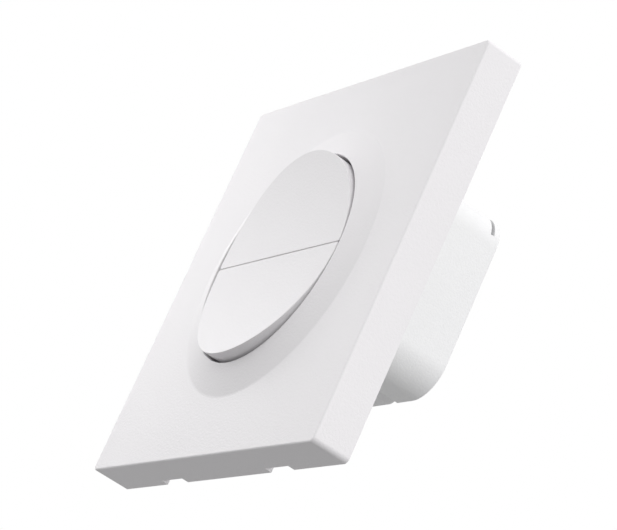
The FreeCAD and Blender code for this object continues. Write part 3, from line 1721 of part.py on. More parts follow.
for item in doc.Objects:
    if "Invalid" in item.State or "Error" in item.State:
        raise RuntimeError(f"{item.Label} failed: {item.State}")
for node in nodes:
    if node.Shape.isNull() or not node.Shape.isValid():
        raise RuntimeError(f"{node.Label} has no valid shape")
for node in nodes:
    node.Shape.exportStep(f"parts/{node.Label}.step")
    box = node.Shape.BoundBox
    print(
        f"{node.Label:22s} solids {len(node.Shape.Solids)}  volume {node.Shape.Volume:9.1f}  "
        f"x {box.XMin:6.1f} {box.XMax:6.1f}  y {box.YMin:6.1f} {box.YMax:6.1f}  "
        f"z {box.ZMin:6.1f} {box.ZMax:6.1f}"
    )
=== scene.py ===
import math

import bmesh
import bpy
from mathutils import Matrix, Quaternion, Vector


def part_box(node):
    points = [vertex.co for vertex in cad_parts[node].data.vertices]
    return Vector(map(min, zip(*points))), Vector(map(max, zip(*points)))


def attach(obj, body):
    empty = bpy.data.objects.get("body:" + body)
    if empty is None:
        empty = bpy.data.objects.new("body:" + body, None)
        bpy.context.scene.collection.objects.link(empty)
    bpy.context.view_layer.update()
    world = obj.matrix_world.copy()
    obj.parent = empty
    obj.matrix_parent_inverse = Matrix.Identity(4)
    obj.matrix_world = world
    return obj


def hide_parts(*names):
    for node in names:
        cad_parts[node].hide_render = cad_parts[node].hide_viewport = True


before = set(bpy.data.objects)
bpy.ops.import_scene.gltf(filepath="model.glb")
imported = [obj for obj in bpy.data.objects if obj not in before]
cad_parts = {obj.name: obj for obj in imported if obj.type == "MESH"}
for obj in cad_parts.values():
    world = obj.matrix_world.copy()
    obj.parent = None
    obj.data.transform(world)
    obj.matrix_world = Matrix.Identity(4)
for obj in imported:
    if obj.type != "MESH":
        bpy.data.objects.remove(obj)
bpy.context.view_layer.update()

# Camera
# The photograph looks up at the switch from below its right-hand side, through a long lens, and
# the picture is turned so that the faceplate leans to the right.

PHOTO_WIDTH = 617
FOCAL_PIXELS = 2839
SENSOR_WIDTH = 36
camera_place = Vector((0.4705, -0.2188, -0.1933))
camera_aim = Vector((0.0039, -0.0050, 0.0008))
camera_roll = math.radians(24.456)
NEAREST_SEEN = 0.01

bpy.ops.object.select_all(action="DESELECT")
bpy.ops.object.camera_add(location=camera_place)
camera = bpy.context.object
camera.name = "camera"
camera.rotation_mode = "QUATERNION"
upright = (camera_aim - camera_place).to_track_quat("-Z", "Y")
camera.rotation_quaternion = upright @ Quaternion((0, 0, 1), camera_roll)
camera.data.sensor_width = SENSOR_WIDTH
camera.data.lens = FOCAL_PIXELS / PHOTO_WIDTH * SENSOR_WIDTH
camera.data.clip_start = NEAREST_SEEN
bpy.context.scene.camera = camera

# Studio
# A pale floor well below the switch, because the camera looks up from under it, a white room and
# four soft lamps: a weak one in front, a weak one close to the left side, the main one far to the
# right, and one high above and behind that lights the top of the housing.

FLOOR_LEVEL = -0.80
FLOOR_SIZE = 40
ROOM_LIGHT = 0.98
PAPER_GLOW = 0.8
LAMPS = {
    "front_lamp": {"place": (-0.15, -0.30, 0.05), "size": 0.20, "watts": 0.135},
    "left_lamp": {"place": (-0.20, -0.085, 0.065), "size": 0.14, "watts": 0.09},
    "side_lamp": {"place": (0.90, 0.02, 0.16), "size": 0.50, "watts": 2.3},
    "top_lamp": {"place": (0.20, 0.32, 0.84), "size": 0.50, "watts": 0.5},
}


def hex_colour(code):
    """An sRGB hex colour as the linear values that Blender's sockets take."""
    channels = [int(code[place : place + 2], 16) / 255 for place in (1, 3, 5)]
    linear = [c / 12.92 if c <= 0.04045 else ((c + 0.055) / 1.055) ** 2.4 for c in channels]
    return (*linear, 1.0)


def add_node(tree, kind, settings=None, links=None):
    """Adds a node, sets its sockets and properties by name, and links outputs to its inputs."""
    node = tree.nodes.new(kind)
    for name, value in (settings or {}).items():
        if isinstance(name, int) or name in node.inputs:
            node.inputs[name].default_value = value
        else:
            setattr(node, name, value)
    for name, source in (links or {}).items():
        tree.links.new(source, node.inputs[name])
    return node


def shows_backdrop(tree):
    """1 for rays that look straight at the background, or see it in metal or through glass."""
    path = add_node(tree, "ShaderNodeLightPath")
    seen = path.outputs["Is Camera Ray"]
    for ray in ("Is Glossy Ray", "Is Transmission Ray"):
        links = {0: seen, 1: path.outputs[ray]}
        seen = add_node(tree, "ShaderNodeMath", {"operation": "MAXIMUM"}, links).outputs[0]
    return seen


world = bpy.data.worlds.new("white_room")
world.use_nodes = True
bpy.context.scene.world = world
world_tree = world.node_tree
world_tree.nodes.clear()
seen = shows_backdrop(world_tree)
light = add_node(world_tree, "ShaderNodeBackground", {"Strength": ROOM_LIGHT})
white = add_node(world_tree, "ShaderNodeBackground", {"Strength": 1.0})
for background in (light, white):
    background.inputs["Color"].default_value = hex_colour("#FFFFFF")
mixed = add_node(world_tree, "ShaderNodeMixShader", {}, {0: seen, 1: light.outputs[0]})
world_tree.links.new(white.outputs[0], mixed.inputs[2])
add_node(world_tree, "ShaderNodeOutputWorld", {}, {"Surface": mixed.outputs[0]})

bpy.ops.object.select_all(action="DESELECT")
bpy.ops.mesh.primitive_plane_add(size=FLOOR_SIZE, location=(0, 0, FLOOR_LEVEL))
floor = bpy.context.object
floor.name = "floor"
paper = bpy.data.materials.new("white_studio_paper")
paper.use_nodes = True
paper_tree = paper.node_tree
paper_tree.nodes.clear()
seen = shows_backdrop(paper_tree)
share = add_node(paper_tree, "ShaderNodeMath", {"operation": "MULTIPLY", 1: PAPER_GLOW}, {0: seen})
matte = add_node(paper_tree, "ShaderNodeBsdfDiffuse", {"Color": hex_colour("#9C9C9C")})
glow = add_node(paper_tree, "ShaderNodeEmission", {"Color": hex_colour("#FFFFFF"), "Strength": 1.0})
mixed = add_node(paper_tree, "ShaderNodeMixShader", {}, {0: share.outputs[0], 1: matte.outputs[0]})
paper_tree.links.new(glow.outputs[0], mixed.inputs[2])
add_node(paper_tree, "ShaderNodeOutputMaterial", {}, {"Surface": mixed.outputs[0]})
floor.data.materials.append(paper)

for name, lamp in LAMPS.items():
    bpy.ops.object.light_add(type="AREA", location=lamp["place"])
    source = bpy.context.object
    source.name = name
    source.data.shape = "DISK"
    source.data.size = lamp["size"]
    source.data.energy = lamp["watts"]
    source.visible_camera = False
    source.rotation_mode = "QUATERNION"
    source.rotation_quaternion = (-Vector(lamp["place"])).to_track_quat("-Z", "Y")

bpy.context.scene.view_settings.view_transform = "Standard"

# Faceplate
# The square cover is one injection moulding of white ABS: thin sides, a slightly thicker front and
# a conical collar whose bore holds the buttons. It clips on the mounting frame by ridges inside
# its upper and lower walls, and two notches in the lower edge take a blade to pry it off.

MM = 0.001
TOUCH = 1e-6
TOO_CLOSE = 6 * TOUCH
CORNER_STEPS = 10
EDGE_STEPS = 6
ROUND_STEPS = 256

plate_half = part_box("faceplate")[1].x
plate_height = 8.2 * MM
plate_corner = 1.1 * MM
plate_inner_corner = 0.4 * MM
plate_edge = 0.4 * MM
side_wall = 1.2 * MM
front_wall = 1.8 * MM
collar_rim = 10.4 * MM
collar_foot = 30.0 * MM
collar_bore = 23.5 * MM
collar_flat = 1.5 * MM
collar_rim_radius = 0.35 * MM
collar_foot_radius = 0.3 * MM
skirt_wall = 1.4 * MM
skirt_end = 5.2 * MM
notch_width = 8.3 * MM
notch_depth = 1.5 * MM
notch_offset = 20.35 * MM
ridge_half = 4.5 * MM
ridge_reach = 0.9 * MM
ridge_low = 1.0 * MM
ridge_top = 1.9 * MM
ridge_lead = 0.3 * MM
SHARP_ANGLE = math.radians(40)
PLASTIC_IOR = 1.54
TONE_PATCH = 25 * MM
GRAIN_GLOSS = 0.05
GRAIN_RELIEF = 0.06 * MM


def edit(piece):
    """Opens one mesh for editing, with nothing else selected."""
    bpy.ops.object.select_all(action="DESELECT")
    bpy.context.view_layer.objects.active = piece
    piece.select_set(True)
    bpy.ops.object.mode_set(mode="EDIT")


def leave():
    """Closes the mesh that is being edited."""
    bpy.ops.object.mode_set(mode="OBJECT")


def pick(piece, kind, wanted):
    """Selects the vertices, edges or faces for which the test is true, and nothing else."""
    bpy.ops.mesh.select_mode(type=kind)
    bpy.ops.mesh.select_all(action="DESELECT")
    mesh = bmesh.from_edit_mesh(piece.data)
    parts = {"VERT": mesh.verts, "EDGE": mesh.edges, "FACE": mesh.faces}[kind]
    for part in parts:
        if wanted(part):
            part.select_set(True)
    bmesh.update_edit_mesh(piece.data)


def on_level(axis, level):
    """A test for edges and faces that lie in one plane square to an axis."""
    return lambda part: all(abs(corner.co[axis] - level) < TOUCH for corner in part.verts)


def at_radius(radius, height):
    """A test for edges of a level circle round the Y axis."""
    return lambda edge: all(
        abs(corner.co.y + height) < TOUCH
        and abs(math.hypot(corner.co.x, corner.co.z) - radius) < TOUCH
        for corner in edge.verts
    )


def fix_place(piece):
    """Puts a new primitive's place, turn and size into its mesh."""
    bpy.ops.object.select_all(action="DESELECT")
    bpy.context.view_layer.objects.active = piece
    piece.select_set(True)
    bpy.ops.object.transform_apply(location=True, rotation=True, scale=True)


def add_box(name, low, high):
    """A plain box between two corners, as a start or as a cutting tool."""
    low, high = Vector(low), Vector(high)
    bpy.ops.object.select_all(action="DESELECT")
    bpy.ops.mesh.primitive_cube_add(size=1, location=(low + high) / 2, scale=high - low)
    piece = bpy.context.object
    piece.name = name
    fix_place(piece)
    return piece


def round_edges(piece, wanted, radius, steps):
    """Rounds the edges for which the test is true."""
    edit(piece)
    pick(piece, "EDGE", wanted)
    bpy.ops.mesh.bevel(offset=radius, segments=steps, affect="EDGES")
    leave()


def add_block(name, low, high, corner_radius, steps):
    """A box between two corners whose four edges along the Y axis are rounded."""
    block = add_box(name, low, high)
    long = (high[1] - low[1]) / 2

    def along_y(edge):
        return abs(edge.verts[0].co.y - edge.verts[1].co.y) > long

    round_edges(block, along_y, corner_radius, steps)
    return block


def open_sides(name, half, height, corner_radius, edge_radius):
    """The sides of a square box with round corners, open in front and behind."""
    corners = (-half, -height, -half), (half, 0, half)
    sides = add_block(name, *corners, corner_radius, CORNER_STEPS)
    if edge_radius:
        round_edges(sides, on_level(1, -height), edge_radius, EDGE_STEPS)
    edit(sides)
    pick(sides, "FACE", lambda face: len(face.verts) > 4)
    bpy.ops.mesh.delete(type="FACE")
    leave()
    return sides


def draw_ring(name, profile):
    """A ring round the Y axis: a circle drawn on through pairs of radius and height."""
    radius, height = profile[0]
    bpy.ops.object.select_all(action="DESELECT")
    bpy.ops.mesh.primitive_circle_add(
        vertices=ROUND_STEPS,
        radius=radius,
        fill_type="NOTHING",
        location=(0, -height, 0),
        rotation=(math.pi / 2, 0, 0),
    )
    ring = bpy.context.object
    ring.name = name
    fix_place(ring)
    edit(ring)
    bpy.ops.mesh.select_mode(type="EDGE")
    bpy.ops.mesh.select_all(action="SELECT")
    for next_radius, next_height in profile[1:]:
        step = (0, height - next_height, 0)
        bpy.ops.mesh.extrude_region_move(TRANSFORM_OT_translate={"value": step})
        spread = next_radius / radius
        centre = (0, -next_height, 0)
        bpy.ops.transform.resize(value=(spread, 1, spread), center_override=centre)
        radius, height = next_radius, next_height
    leave()
    return ring


def join_into(piece, others):
    """Makes several meshes one, with the points that they share merged."""
    bpy.ops.object.select_all(action="DESELECT")
    for other in (*others, piece):
        other.select_set(True)
    bpy.context.view_layer.objects.active = piece
    bpy.ops.object.join()
    edit(piece)
    bpy.ops.mesh.select_all(action="SELECT")
    bpy.ops.mesh.remove_doubles(threshold=TOUCH)
    leave()


def apply_change(piece, kind, **settings):
    """Adds one modifier to a piece and applies it."""
    change = piece.modifiers.new("change", kind)
    for name, value in settings.items():
        setattr(change, name, value)
    bpy.ops.object.select_all(action="DESELECT")
    bpy.context.view_layer.objects.active = piece
    piece.select_set(True)
    bpy.ops.object.modifier_apply(modifier=change.name)


def combine(piece, tool, operation):
    """Cuts a tool's shape away from a piece, or adds it, and removes the tool."""
    apply_change(piece, "BOOLEAN", operation=operation, object=tool, solver="EXACT")
    bpy.data.objects.remove(tool)


def outwards(piece):
    """Turns all faces outwards."""
    edit(piece)
    bpy.ops.mesh.select_all(action="SELECT")
    bpy.ops.mesh.normals_make_consistent(inside=False)
    leave()


def smooth(piece):
    """Merges what the cuts left too close together, then shades smooth between sharp edges. The
    large faces steer the shading, so that flats stay flat."""
    edit(piece)
    bpy.ops.mesh.select_all(action="SELECT")
    bpy.ops.mesh.remove_doubles(threshold=TOO_CLOSE)
    bpy.ops.mesh.dissolve_degenerate(threshold=TOO_CLOSE)
    leave()
    bpy.ops.object.shade_smooth_by_angle(angle=SHARP_ANGLE)
    apply_change(piece, "WEIGHTED_NORMAL", keep_sharp=True, weight=100)


def moulded_plastic(name, colour, shade, grain, roughness):
    """Injection-moulded ABS from an etched mould: matte, a fine even grain, hardly any shine.
    The real grain is finer than a pixel, so it is drawn a little coarser to be seen at all."""
    material = bpy.data.materials.new(name)
    material.use_nodes = True
    tree = material.node_tree
    shader = tree.nodes["Principled BSDF"]
    shader.inputs["IOR"].default_value = PLASTIC_IOR
    place = add_node(tree, "ShaderNodeTexCoord").outputs["Object"]
    clouds = add_node(tree, "ShaderNodeTexNoise", {"Scale": 1 / TONE_PATCH}, {"Vector": place})
    tint = add_node(tree, "ShaderNodeMix", {"data_type": "RGBA"}, {0: clouds.outputs["Fac"]})
    for socket in tint.inputs:
        if socket.type == "RGBA":
            socket.default_value = hex_colour(colour if socket.name == "A" else shade)
    colour_out = next(socket for socket in tint.outputs if socket.type == "RGBA")
    tree.links.new(colour_out, shader.inputs["Base Color"])
    grains = add_node(
        tree,
        "ShaderNodeTexNoise",
        {"Scale": 1 / grain, "Detail": 3.0, "Roughness": 0.6},
        {"Vector": place},
    )
    gloss = add_node(
        tree,
        "ShaderNodeMapRange",
        {"To Min": roughness - GRAIN_GLOSS, "To Max": roughness + GRAIN_GLOSS},
        {"Value": grains.outputs["Fac"]},
    )
    tree.links.new(gloss.outputs["Result"], shader.inputs["Roughness"])
    bump = add_node(
        tree,
        "ShaderNodeBump",
        {"Strength": 1.0, "Distance": GRAIN_RELIEF},
        {"Height": grains.outputs["Fac"]},
    )
    tree.links.new(bump.outputs["Normal"], shader.inputs["Normal"])
    return material


plate_plastic = moulded_plastic("plate_abs", "#EFEDEF", "#ECEAEC", 0.45 * MM, 0.52)

under = plate_height - front_wall
slope = (collar_rim - plate_height) / (collar_foot - collar_bore)
skirt = collar_bore + skirt_wall
inner_half = plate_half - side_wall
faceplate = open_sides("plate_cover", plate_half, plate_height, plate_corner, plate_edge)
inside = open_sides("plate_inside", inner_half, under, plate_inner_corner, 0)
collar = draw_ring(
    "plate_collar",
    [
        (collar_foot + collar_flat, plate_height),
        (collar_foot, plate_height),
        (collar_bore, collar_rim),
        (collar_bore, skirt_end),
        (skirt, skirt_end),
        (skirt, under + slope * (collar_foot - skirt)),
        (collar_foot, under),
        (collar_foot + collar_flat, under),
    ],
)
edit(collar)
pick(collar, "EDGE", at_radius(collar_bore, collar_rim))
bpy.ops.mesh.bevel(offset=collar_rim_radius, segments=EDGE_STEPS, affect="EDGES")
pick(collar, "EDGE", at_radius(collar_foot, plate_height))
bpy.ops.mesh.bevel(offset=collar_foot_radius, segments=EDGE_STEPS, affect="EDGES")
leave()
join_into(faceplate, [inside, collar])
edit(faceplate)
for level in (-plate_height, -under, 0):
    in_plane = on_level(1, level)
    pick(faceplate, "EDGE", lambda edge: edge.is_boundary and in_plane(edge))
    bpy.ops.mesh.fill(use_beauty=True)
leave()
outwards(faceplate)


def is_tip(edge):
    """The edges of a snap ridge that stand furthest from the wall."""
    return all(abs(corner.co.z) < inner_half - ridge_reach + TOUCH for corner in edge.verts)


for side in (1, -1):
    middle = notch_offset * side
    notch = add_box(
        "notch",
        (middle - notch_width / 2, -notch_depth, -plate_half - MM),
        (middle + notch_width / 2, MM, -inner_half + TOUCH),
    )
    combine(faceplate, notch, "DIFFERENCE")
    for end in (1, -1):
        levels = sorted(((inner_half - ridge_reach) * end, (inner_half + side_wall / 2) * end))
        ridge = add_box(
            "ridge",
            (middle - ridge_half, -ridge_top, levels[0]),
            (middle + ridge_half, -ridge_low, levels[1]),
        )
        edit(ridge)
        pick(ridge, "EDGE", lambda edge: on_level(1, -ridge_low)(edge) and is_tip(edge))
        bpy.ops.mesh.bevel(offset=ridge_lead, segments=1, affect="EDGES")
        leave()
        combine(faceplate, ridge, "UNION")
smooth(faceplate)
faceplate.data.materials.append(plate_plastic)
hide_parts("faceplate")
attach(faceplate, "base")

# Buttons
# Two half-round rocker caps of the same ABS, hinged near the split, which lies a little above the
# middle. Their fronts form one shallow hollow, curved up and down only. Each is a thin shell with
# rounded edges, and has a post, two lugs and a hook moulded on inside.

cap_radius = 22.95 * MM
split_level = 0.37 * MM
split_gap = 0.12 * MM
cap_middle = 10.16 * MM
cap_hollow = 100 * MM
cap_skirt = 6.2 * MM
cap_wall = 1.3 * MM
cap_edge = 0.15 * MM
cap_corner = 0.5 * MM
cap_strip = 1.0 * MM
switch_level = 10.0 * MM
button_post = 1.5 * MM
post_play = 0.15 * MM
lug_inner = 13.0 * MM
lug_thickness = 2.0 * MM
lug_half = 1.4 * MM
lug_end = 1.25 * MM
hinge_level = 3.2 * MM
hinge_height = 6.6 * MM
eye_radius = 0.85 * MM
hook_half = 4.0 * MM
hook_inner = 20.3 * MM
hook_outer = 21.9 * MM
hook_reach = 1.4 * MM
hook_top = -4.1 * MM
hook_back = -3.3 * MM
CAP_EDGE_STEPS = 4
ROD_STEPS = 32
CUT = 1.0 * MM

button_plastic = moulded_plastic("button_abs", "#EAE8EA", "#E7E5E7", 0.45 * MM, 0.50)


def add_rod(name, across, level, front, back, radius, front_radius=None):
    """A round rod or cone along the Y axis, as a start or as a cutting tool."""
    bpy.ops.object.select_all(action="DESELECT")
    bpy.ops.mesh.primitive_cone_add(
        vertices=ROD_STEPS,
        radius1=front_radius or radius,
        radius2=radius,
        depth=back - front,
        location=(across, (front + back) / 2, level),
        rotation=(-math.pi / 2, 0, 0),
    )
    rod = bpy.context.object
    rod.name = name
    fix_place(rod)
    return rod


def cap_skin(name, side, inset, corner_radius, edge_radius):
    """The skin of a half-round cap, open behind. An inset makes the skin inside its wall."""
    radius = cap_radius - inset
    front = cap_middle - inset
    bpy.ops.object.select_all(action="DESELECT")
    bpy.ops.mesh.primitive_circle_add(
        vertices=ROUND_STEPS,
        radius=radius,
        fill_type="NGON",
        location=(0, -front, 0),
        rotation=(math.pi / 2, 0, 0),
    )
    skin = bpy.context.object
    skin.name = name
    fix_place(skin)
    edit(skin)
    bpy.ops.mesh.select_all(action="SELECT")
    split = split_level + (split_gap / 2 + inset) * side
    bpy.ops.mesh.bisect(
        plane_co=(0, 0, split), plane_no=(0, 0, side), clear_inner=True, threshold=TOUCH
    )
    pick(skin, "VERT", lambda corner: TOUCH < abs(corner.co.z - split) < 2 * cap_corner)
    bpy.ops.mesh.dissolve_verts()
    if corner_radius:
        pick(skin, "VERT", lambda corner: abs(corner.co.z - split) < TOUCH)
        bpy.ops.mesh.bevel(offset=corner_radius, segments=EDGE_STEPS, affect="VERTICES")
    bpy.ops.mesh.select_mode(type="FACE")
    bpy.ops.mesh.select_all(action="SELECT")
    depth = (0, front - cap_skirt, 0)
    bpy.ops.mesh.extrude_region_move(TRANSFORM_OT_translate={"value": depth})
    bpy.ops.mesh.delete(type="FACE")
    if edge_radius:
        pick(skin, "EDGE", on_level(1, -front))
        bpy.ops.mesh.bevel(offset=edge_radius, segments=CAP_EDGE_STEPS, affect="EDGES")
    for number in range(1, math.ceil(cap_radius / cap_strip)):
        bpy.ops.mesh.select_all(action="SELECT")
        level = (0, 0, cap_strip * number * side)
        bpy.ops.mesh.bisect(plane_co=level, plane_no=(0, 0, 1), threshold=TOUCH)
    mesh = bmesh.from_edit_mesh(skin.data)
    for corner in mesh.verts:
        if corner.co.y < -(front - edge_radius) + TOUCH:
            corner.co.y -= cap_hollow - math.sqrt(cap_hollow**2 - corner.co.z**2)
    bmesh.update_edit_mesh(skin.data)
    leave()
    return skin


def along_x(edge):
    """A test for edges of a lug that run across the button."""
    return abs(edge.verts[0].co.x - edge.verts[1].co.x) > lug_thickness / 2


def rocker_cap(name, node, side):
    """One half-round cap with its post, lugs and hook. Side 1 is the upper one, -1 the lower."""
    cap = cap_skin(name, side, 0, cap_corner, cap_edge)
    inner = cap_skin("inner_skin", side, cap_wall, 0, 0)
    join_into(cap, [inner])
    edit(cap)
    in_plane = on_level(1, -cap_skirt)
    pick(cap, "EDGE", lambda edge: edge.is_boundary and in_plane(edge))
    bpy.ops.mesh.fill(use_beauty=True)
    leave()
    outwards(cap)
    roots = -(cap_middle - cap_wall / 2)
    post_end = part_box("upper_plunger")[0].y - post_play
    post = add_rod("post", 0, switch_level * side, roots, post_end, button_post)
    combine(cap, post, "UNION")
    for end in (1, -1):
        across = sorted((lug_inner * end, (lug_inner + lug_thickness) * end))
        levels = sorted(((hinge_level - lug_half) * side, (hinge_level + lug_half) * side))
        lug = add_box(
            "lug", (across[0], roots, levels[0]), (across[1], lug_half - hinge_height, levels[1])
        )
        edit(lug)
        at_end = on_level(1, lug_half - hinge_height)
        pick(lug, "EDGE", lambda edge: at_end(edge) and along_x(edge))
        bpy.ops.mesh.bevel(offset=lug_end, segments=EDGE_STEPS, affect="EDGES")
        leave()
        combine(cap, lug, "UNION")
        bpy.ops.object.select_all(action="DESELECT")
        bpy.ops.mesh.primitive_cylinder_add(
            vertices=ROD_STEPS,
            radius=eye_radius,
            depth=lug_thickness + CUT,
            location=((lug_inner + lug_thickness / 2) * end, -hinge_height, hinge_level * side),
            rotation=(0, math.pi / 2, 0),
        )
        eye = bpy.context.object
        eye.name = "eye"
        fix_place(eye)
        combine(cap, eye, "DIFFERENCE")
    for low, high, front, back in (
        (hook_inner, hook_outer, roots, hook_back),
        (hook_outer - TOUCH, hook_outer + hook_reach, hook_top, hook_back),
    ):
        levels = sorted((low * side, high * side))
        hook = add_box("hook", (-hook_half, front, levels[0]), (hook_half, back, levels[1]))
        combine(cap, hook, "UNION")
    smooth(cap)
    cap.data.materials.append(button_plastic)
    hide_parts(node)
    return cap


upper_cap = rocker_cap("upper_cap", "upper_button", 1)
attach(upper_cap, "upper_rocker")
lower_cap = rocker_cap("lower_cap", "lower_button", -1)
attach(lower_cap, "lower_rocker")

# Mounting frame
# A square plate of white PC/ABS that two screws hold on the wall box. A rib round its edge with
# four snap lips holds the faceplate, and everything else is screwed to its middle.

frame_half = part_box("mounting_frame")[1].x
frame_front = 2.0 * MM
frame_corner = 1.5 * MM
frame_edge = 0.2 * MM
rib_outer = frame_half - 0.7 * MM
rib_wall = 1.2 * MM
rib_height = 4.6 * MM
lip_level = 0.9 * MM
lip_half = 5.2 * MM
lip_root = 0.2 * MM
recess_half = 4.6 * MM
opening_low = (-14.0 * MM, -13.6 * MM)
opening_high = (14.0 * MM, 17.0 * MM)
opening_corner = 1.0 * MM
wall_screw_across = 30.15 * MM
slot_half_length = 4.0 * MM
slot_half_width = 2.1 * MM
slot_rim = 0.8 * MM
slot_rim_height = 0.4 * MM
boss_across = 20.5 * MM
boss_radius = 2.1 * MM
boss_length = 3.0 * MM
pilot_radius = 1.05 * MM
pad_places = [(16.0 * MM, level * MM) for level in (-12.6, 18.6)]
pad_radius = 1.9 * MM
pad_length = 0.5 * MM
pad_pilot_front = 1.4 * MM
post_places = [(21.3 * MM, level * MM) for level in (-12.3, 18.3)]
screw_room = 1.2 * MM
countersink = 2.45 * MM
seat_over = 0.2 * MM
FINE_STEPS = 2
SLOT_STEPS = ROD_STEPS // 4

frame_plastic = moulded_plastic("frame_pc_abs", "#F0F0EE", "#EDEDEB", 0.40 * MM, 0.50)

wall_frame = add_block(
    "wall_frame",
    (-frame_half, -frame_front, -frame_half),
    (frame_half, 0, frame_half),
    frame_corner,
    CORNER_STEPS,
)
round_edges(wall_frame, on_level(1, 0), frame_edge, FINE_STEPS)
rib_corner = frame_corner - (frame_half - rib_outer)
rib = add_block(
    "rib",
    (-rib_outer, -rib_height, -rib_outer),
    (rib_outer, -frame_front / 2, rib_outer),
    rib_corner,
    CORNER_STEPS,
)
round_edges(rib, on_level(1, -rib_height), frame_edge, FINE_STEPS)
rib_inner = rib_outer - rib_wall
rib_room = add_box(
    "rib_room", (-rib_inner, -rib_height - CUT, -rib_inner), (rib_inner, -frame_front, rib_inner)
)
combine(wall_frame, rib, "UNION")
combine(wall_frame, rib_room, "DIFFERENCE")
for side in (1, -1):
    for end in (1, -1):
        middle = notch_offset * side
        levels = sorted((rib_outer * end, (frame_half + CUT) * end))
        recess = add_box(
            "recess",
            (middle - recess_half, -frame_front, levels[0]),
            (middle + recess_half, CUT, levels[1]),
        )
        combine(wall_frame, recess, "DIFFERENCE")
        levels = sorted(((rib_outer - lip_root) * end, (frame_half + lip_root) * end))
        lip = add_box(
            "lip",
            (middle - lip_half, -frame_front - lip_level, levels[0]),
            (middle + lip_half, -frame_front, levels[1]),
        )
        combine(wall_frame, lip, "UNION")
opening = add_block(
    "opening",
    (opening_low[0], -frame_front - CUT, opening_low[1]),
    (opening_high[0], CUT, opening_high[1]),
    opening_corner,
    EDGE_STEPS,
)
combine(wall_frame, opening, "DIFFERENCE")
for side in (1, -1):
    middle = wall_screw_across * side
    reach = slot_half_length + slot_rim
    width = slot_half_width + slot_rim
    rim = add_block(
        "rim",
        (middle - reach, -frame_front - slot_rim_height, -width),
        (middle + reach, -frame_front / 2, width),
        width - TOUCH,
        SLOT_STEPS,
    )
    combine(wall_frame, rim, "UNION")
    screw_slot = add_block(
        "screw_slot",
        (middle - slot_half_length, -frame_front - CUT, -slot_half_width),
        (middle + slot_half_length, CUT, slot_half_width),
        slot_half_width - TOUCH,
        SLOT_STEPS,
    )
    combine(wall_frame, screw_slot, "DIFFERENCE")
    boss = add_rod("boss", boss_across * side, 0, -frame_front / 2, boss_length, boss_radius)
    combine(wall_frame, boss, "UNION")
    pilot = add_rod(
        "pilot", boss_across * side, 0, -frame_front - CUT, boss_length + CUT, pilot_radius
    )
    combine(wall_frame, pilot, "DIFFERENCE")
    for across, level in pad_places:
        pad = add_rod("pad", across * side, level, -frame_front / 2, pad_length, pad_radius)
        combine(wall_frame, pad, "UNION")
        pilot = add_rod("pilot", across * side, level, -pad_pilot_front, CUT, pilot_radius)
        combine(wall_frame, pilot, "DIFFERENCE")
    for across, level in post_places:
        hole = add_rod("hole", across * side, level, -frame_front - CUT, CUT, screw_room)
        combine(wall_frame, hole, "DIFFERENCE")
        seat = add_rod(
            "seat",
            across * side,
            level,
            -frame_front - seat_over,
            countersink - screw_room - frame_front + seat_over,
            screw_room - seat_over,
            countersink + seat_over,
        )
        combine(wall_frame, seat, "DIFFERENCE")
smooth(wall_frame)
wall_frame.data.materials.append(frame_plastic)
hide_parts("mounting_frame")
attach(wall_frame, "base")

# Housing
# The deep sleeve of the in-wall module is moulded PC/ABS with large round corners. It has a groove
# in the bottom, a latch rib on the top and a slot at each upper corner, and four posts inside take
# the screws that hold it on the frame.

housing_low, housing_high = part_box("housing")
housing_half = housing_high.x
housing_depth = housing_high.y
housing_bottom = housing_low.z
housing_top = 23.0 * MM
housing_corner = 7.0 * MM
housing_edge = 0.5 * MM
housing_wall = 1.6 * MM
cover_lap = 0.8 * MM
cover_thickness = 1.2 * MM
HOUSING_STEPS = 24
post_radius = 2.6 * MM
post_length = 6.4 * MM
groove_offset = 12.25 * MM
groove_half_width = 1.65 * MM
groove_depth = 0.9 * MM
rib_half = 18.5 * MM
rib_front = 16.2 * MM
rib_width = 2.0 * MM
rib_edge = 0.25 * MM
RIB_STEPS = 3
slot_front = 17.4 * MM
slot_width = 0.85 * MM
slot_inner = 14.5 * MM
slot_bottom = 18.1 * MM

housing_plastic = moulded_plastic("housing_pc_abs", "#F3F3F4", "#F0F0F1", 0.45 * MM, 0.55)

sleeve = add_block(
    "housing_sleeve",
    (-housing_half, 0, housing_bottom),
    (housing_half, housing_depth, housing_top),
    housing_corner,
    HOUSING_STEPS,
)
round_edges(sleeve, on_level(1, housing_depth), housing_edge, EDGE_STEPS)
for room, front in (
    (housing_wall, -CUT),
    (housing_wall - cover_lap, housing_depth - cover_thickness),
):
    hollow = add_block(
        "hollow",
        (room - housing_half, front, housing_bottom + room),
        (housing_half - room, housing_depth + CUT, housing_top - room),
        housing_corner - room,
        HOUSING_STEPS,
    )
    combine(sleeve, hollow, "DIFFERENCE")
for side in (1, -1):
    for across, level in post_places:
        post = add_rod("post", across * side, level, 0, post_length, post_radius)
        combine(sleeve, post, "UNION")
        pilot = add_rod("pilot", across * side, level, -CUT, post_length + CUT, pilot_radius)
        combine(sleeve, pilot, "DIFFERENCE")
bpy.ops.object.select_all(action="DESELECT")
bpy.ops.mesh.primitive_cylinder_add(
    vertices=4,
    radius=groove_half_width,
    depth=housing_depth * 2,
    location=(groove_offset, housing_depth / 2, housing_bottom),
    rotation=(math.pi / 2, 0, 0),
    scale=(1, groove_depth / groove_half_width, 1),
)
groove = bpy.context.object
groove.name = "groove"
fix_place(groove)
combine(sleeve, groove, "DIFFERENCE")
latch = add_box(
    "latch",
    (-rib_half, rib_front, housing_top - housing_wall / 2),
    (rib_half, rib_front + rib_width, housing_high.z),
)
round_edges(latch, on_level(2, housing_high.z), rib_edge, RIB_STEPS)
combine(sleeve, latch, "UNION")
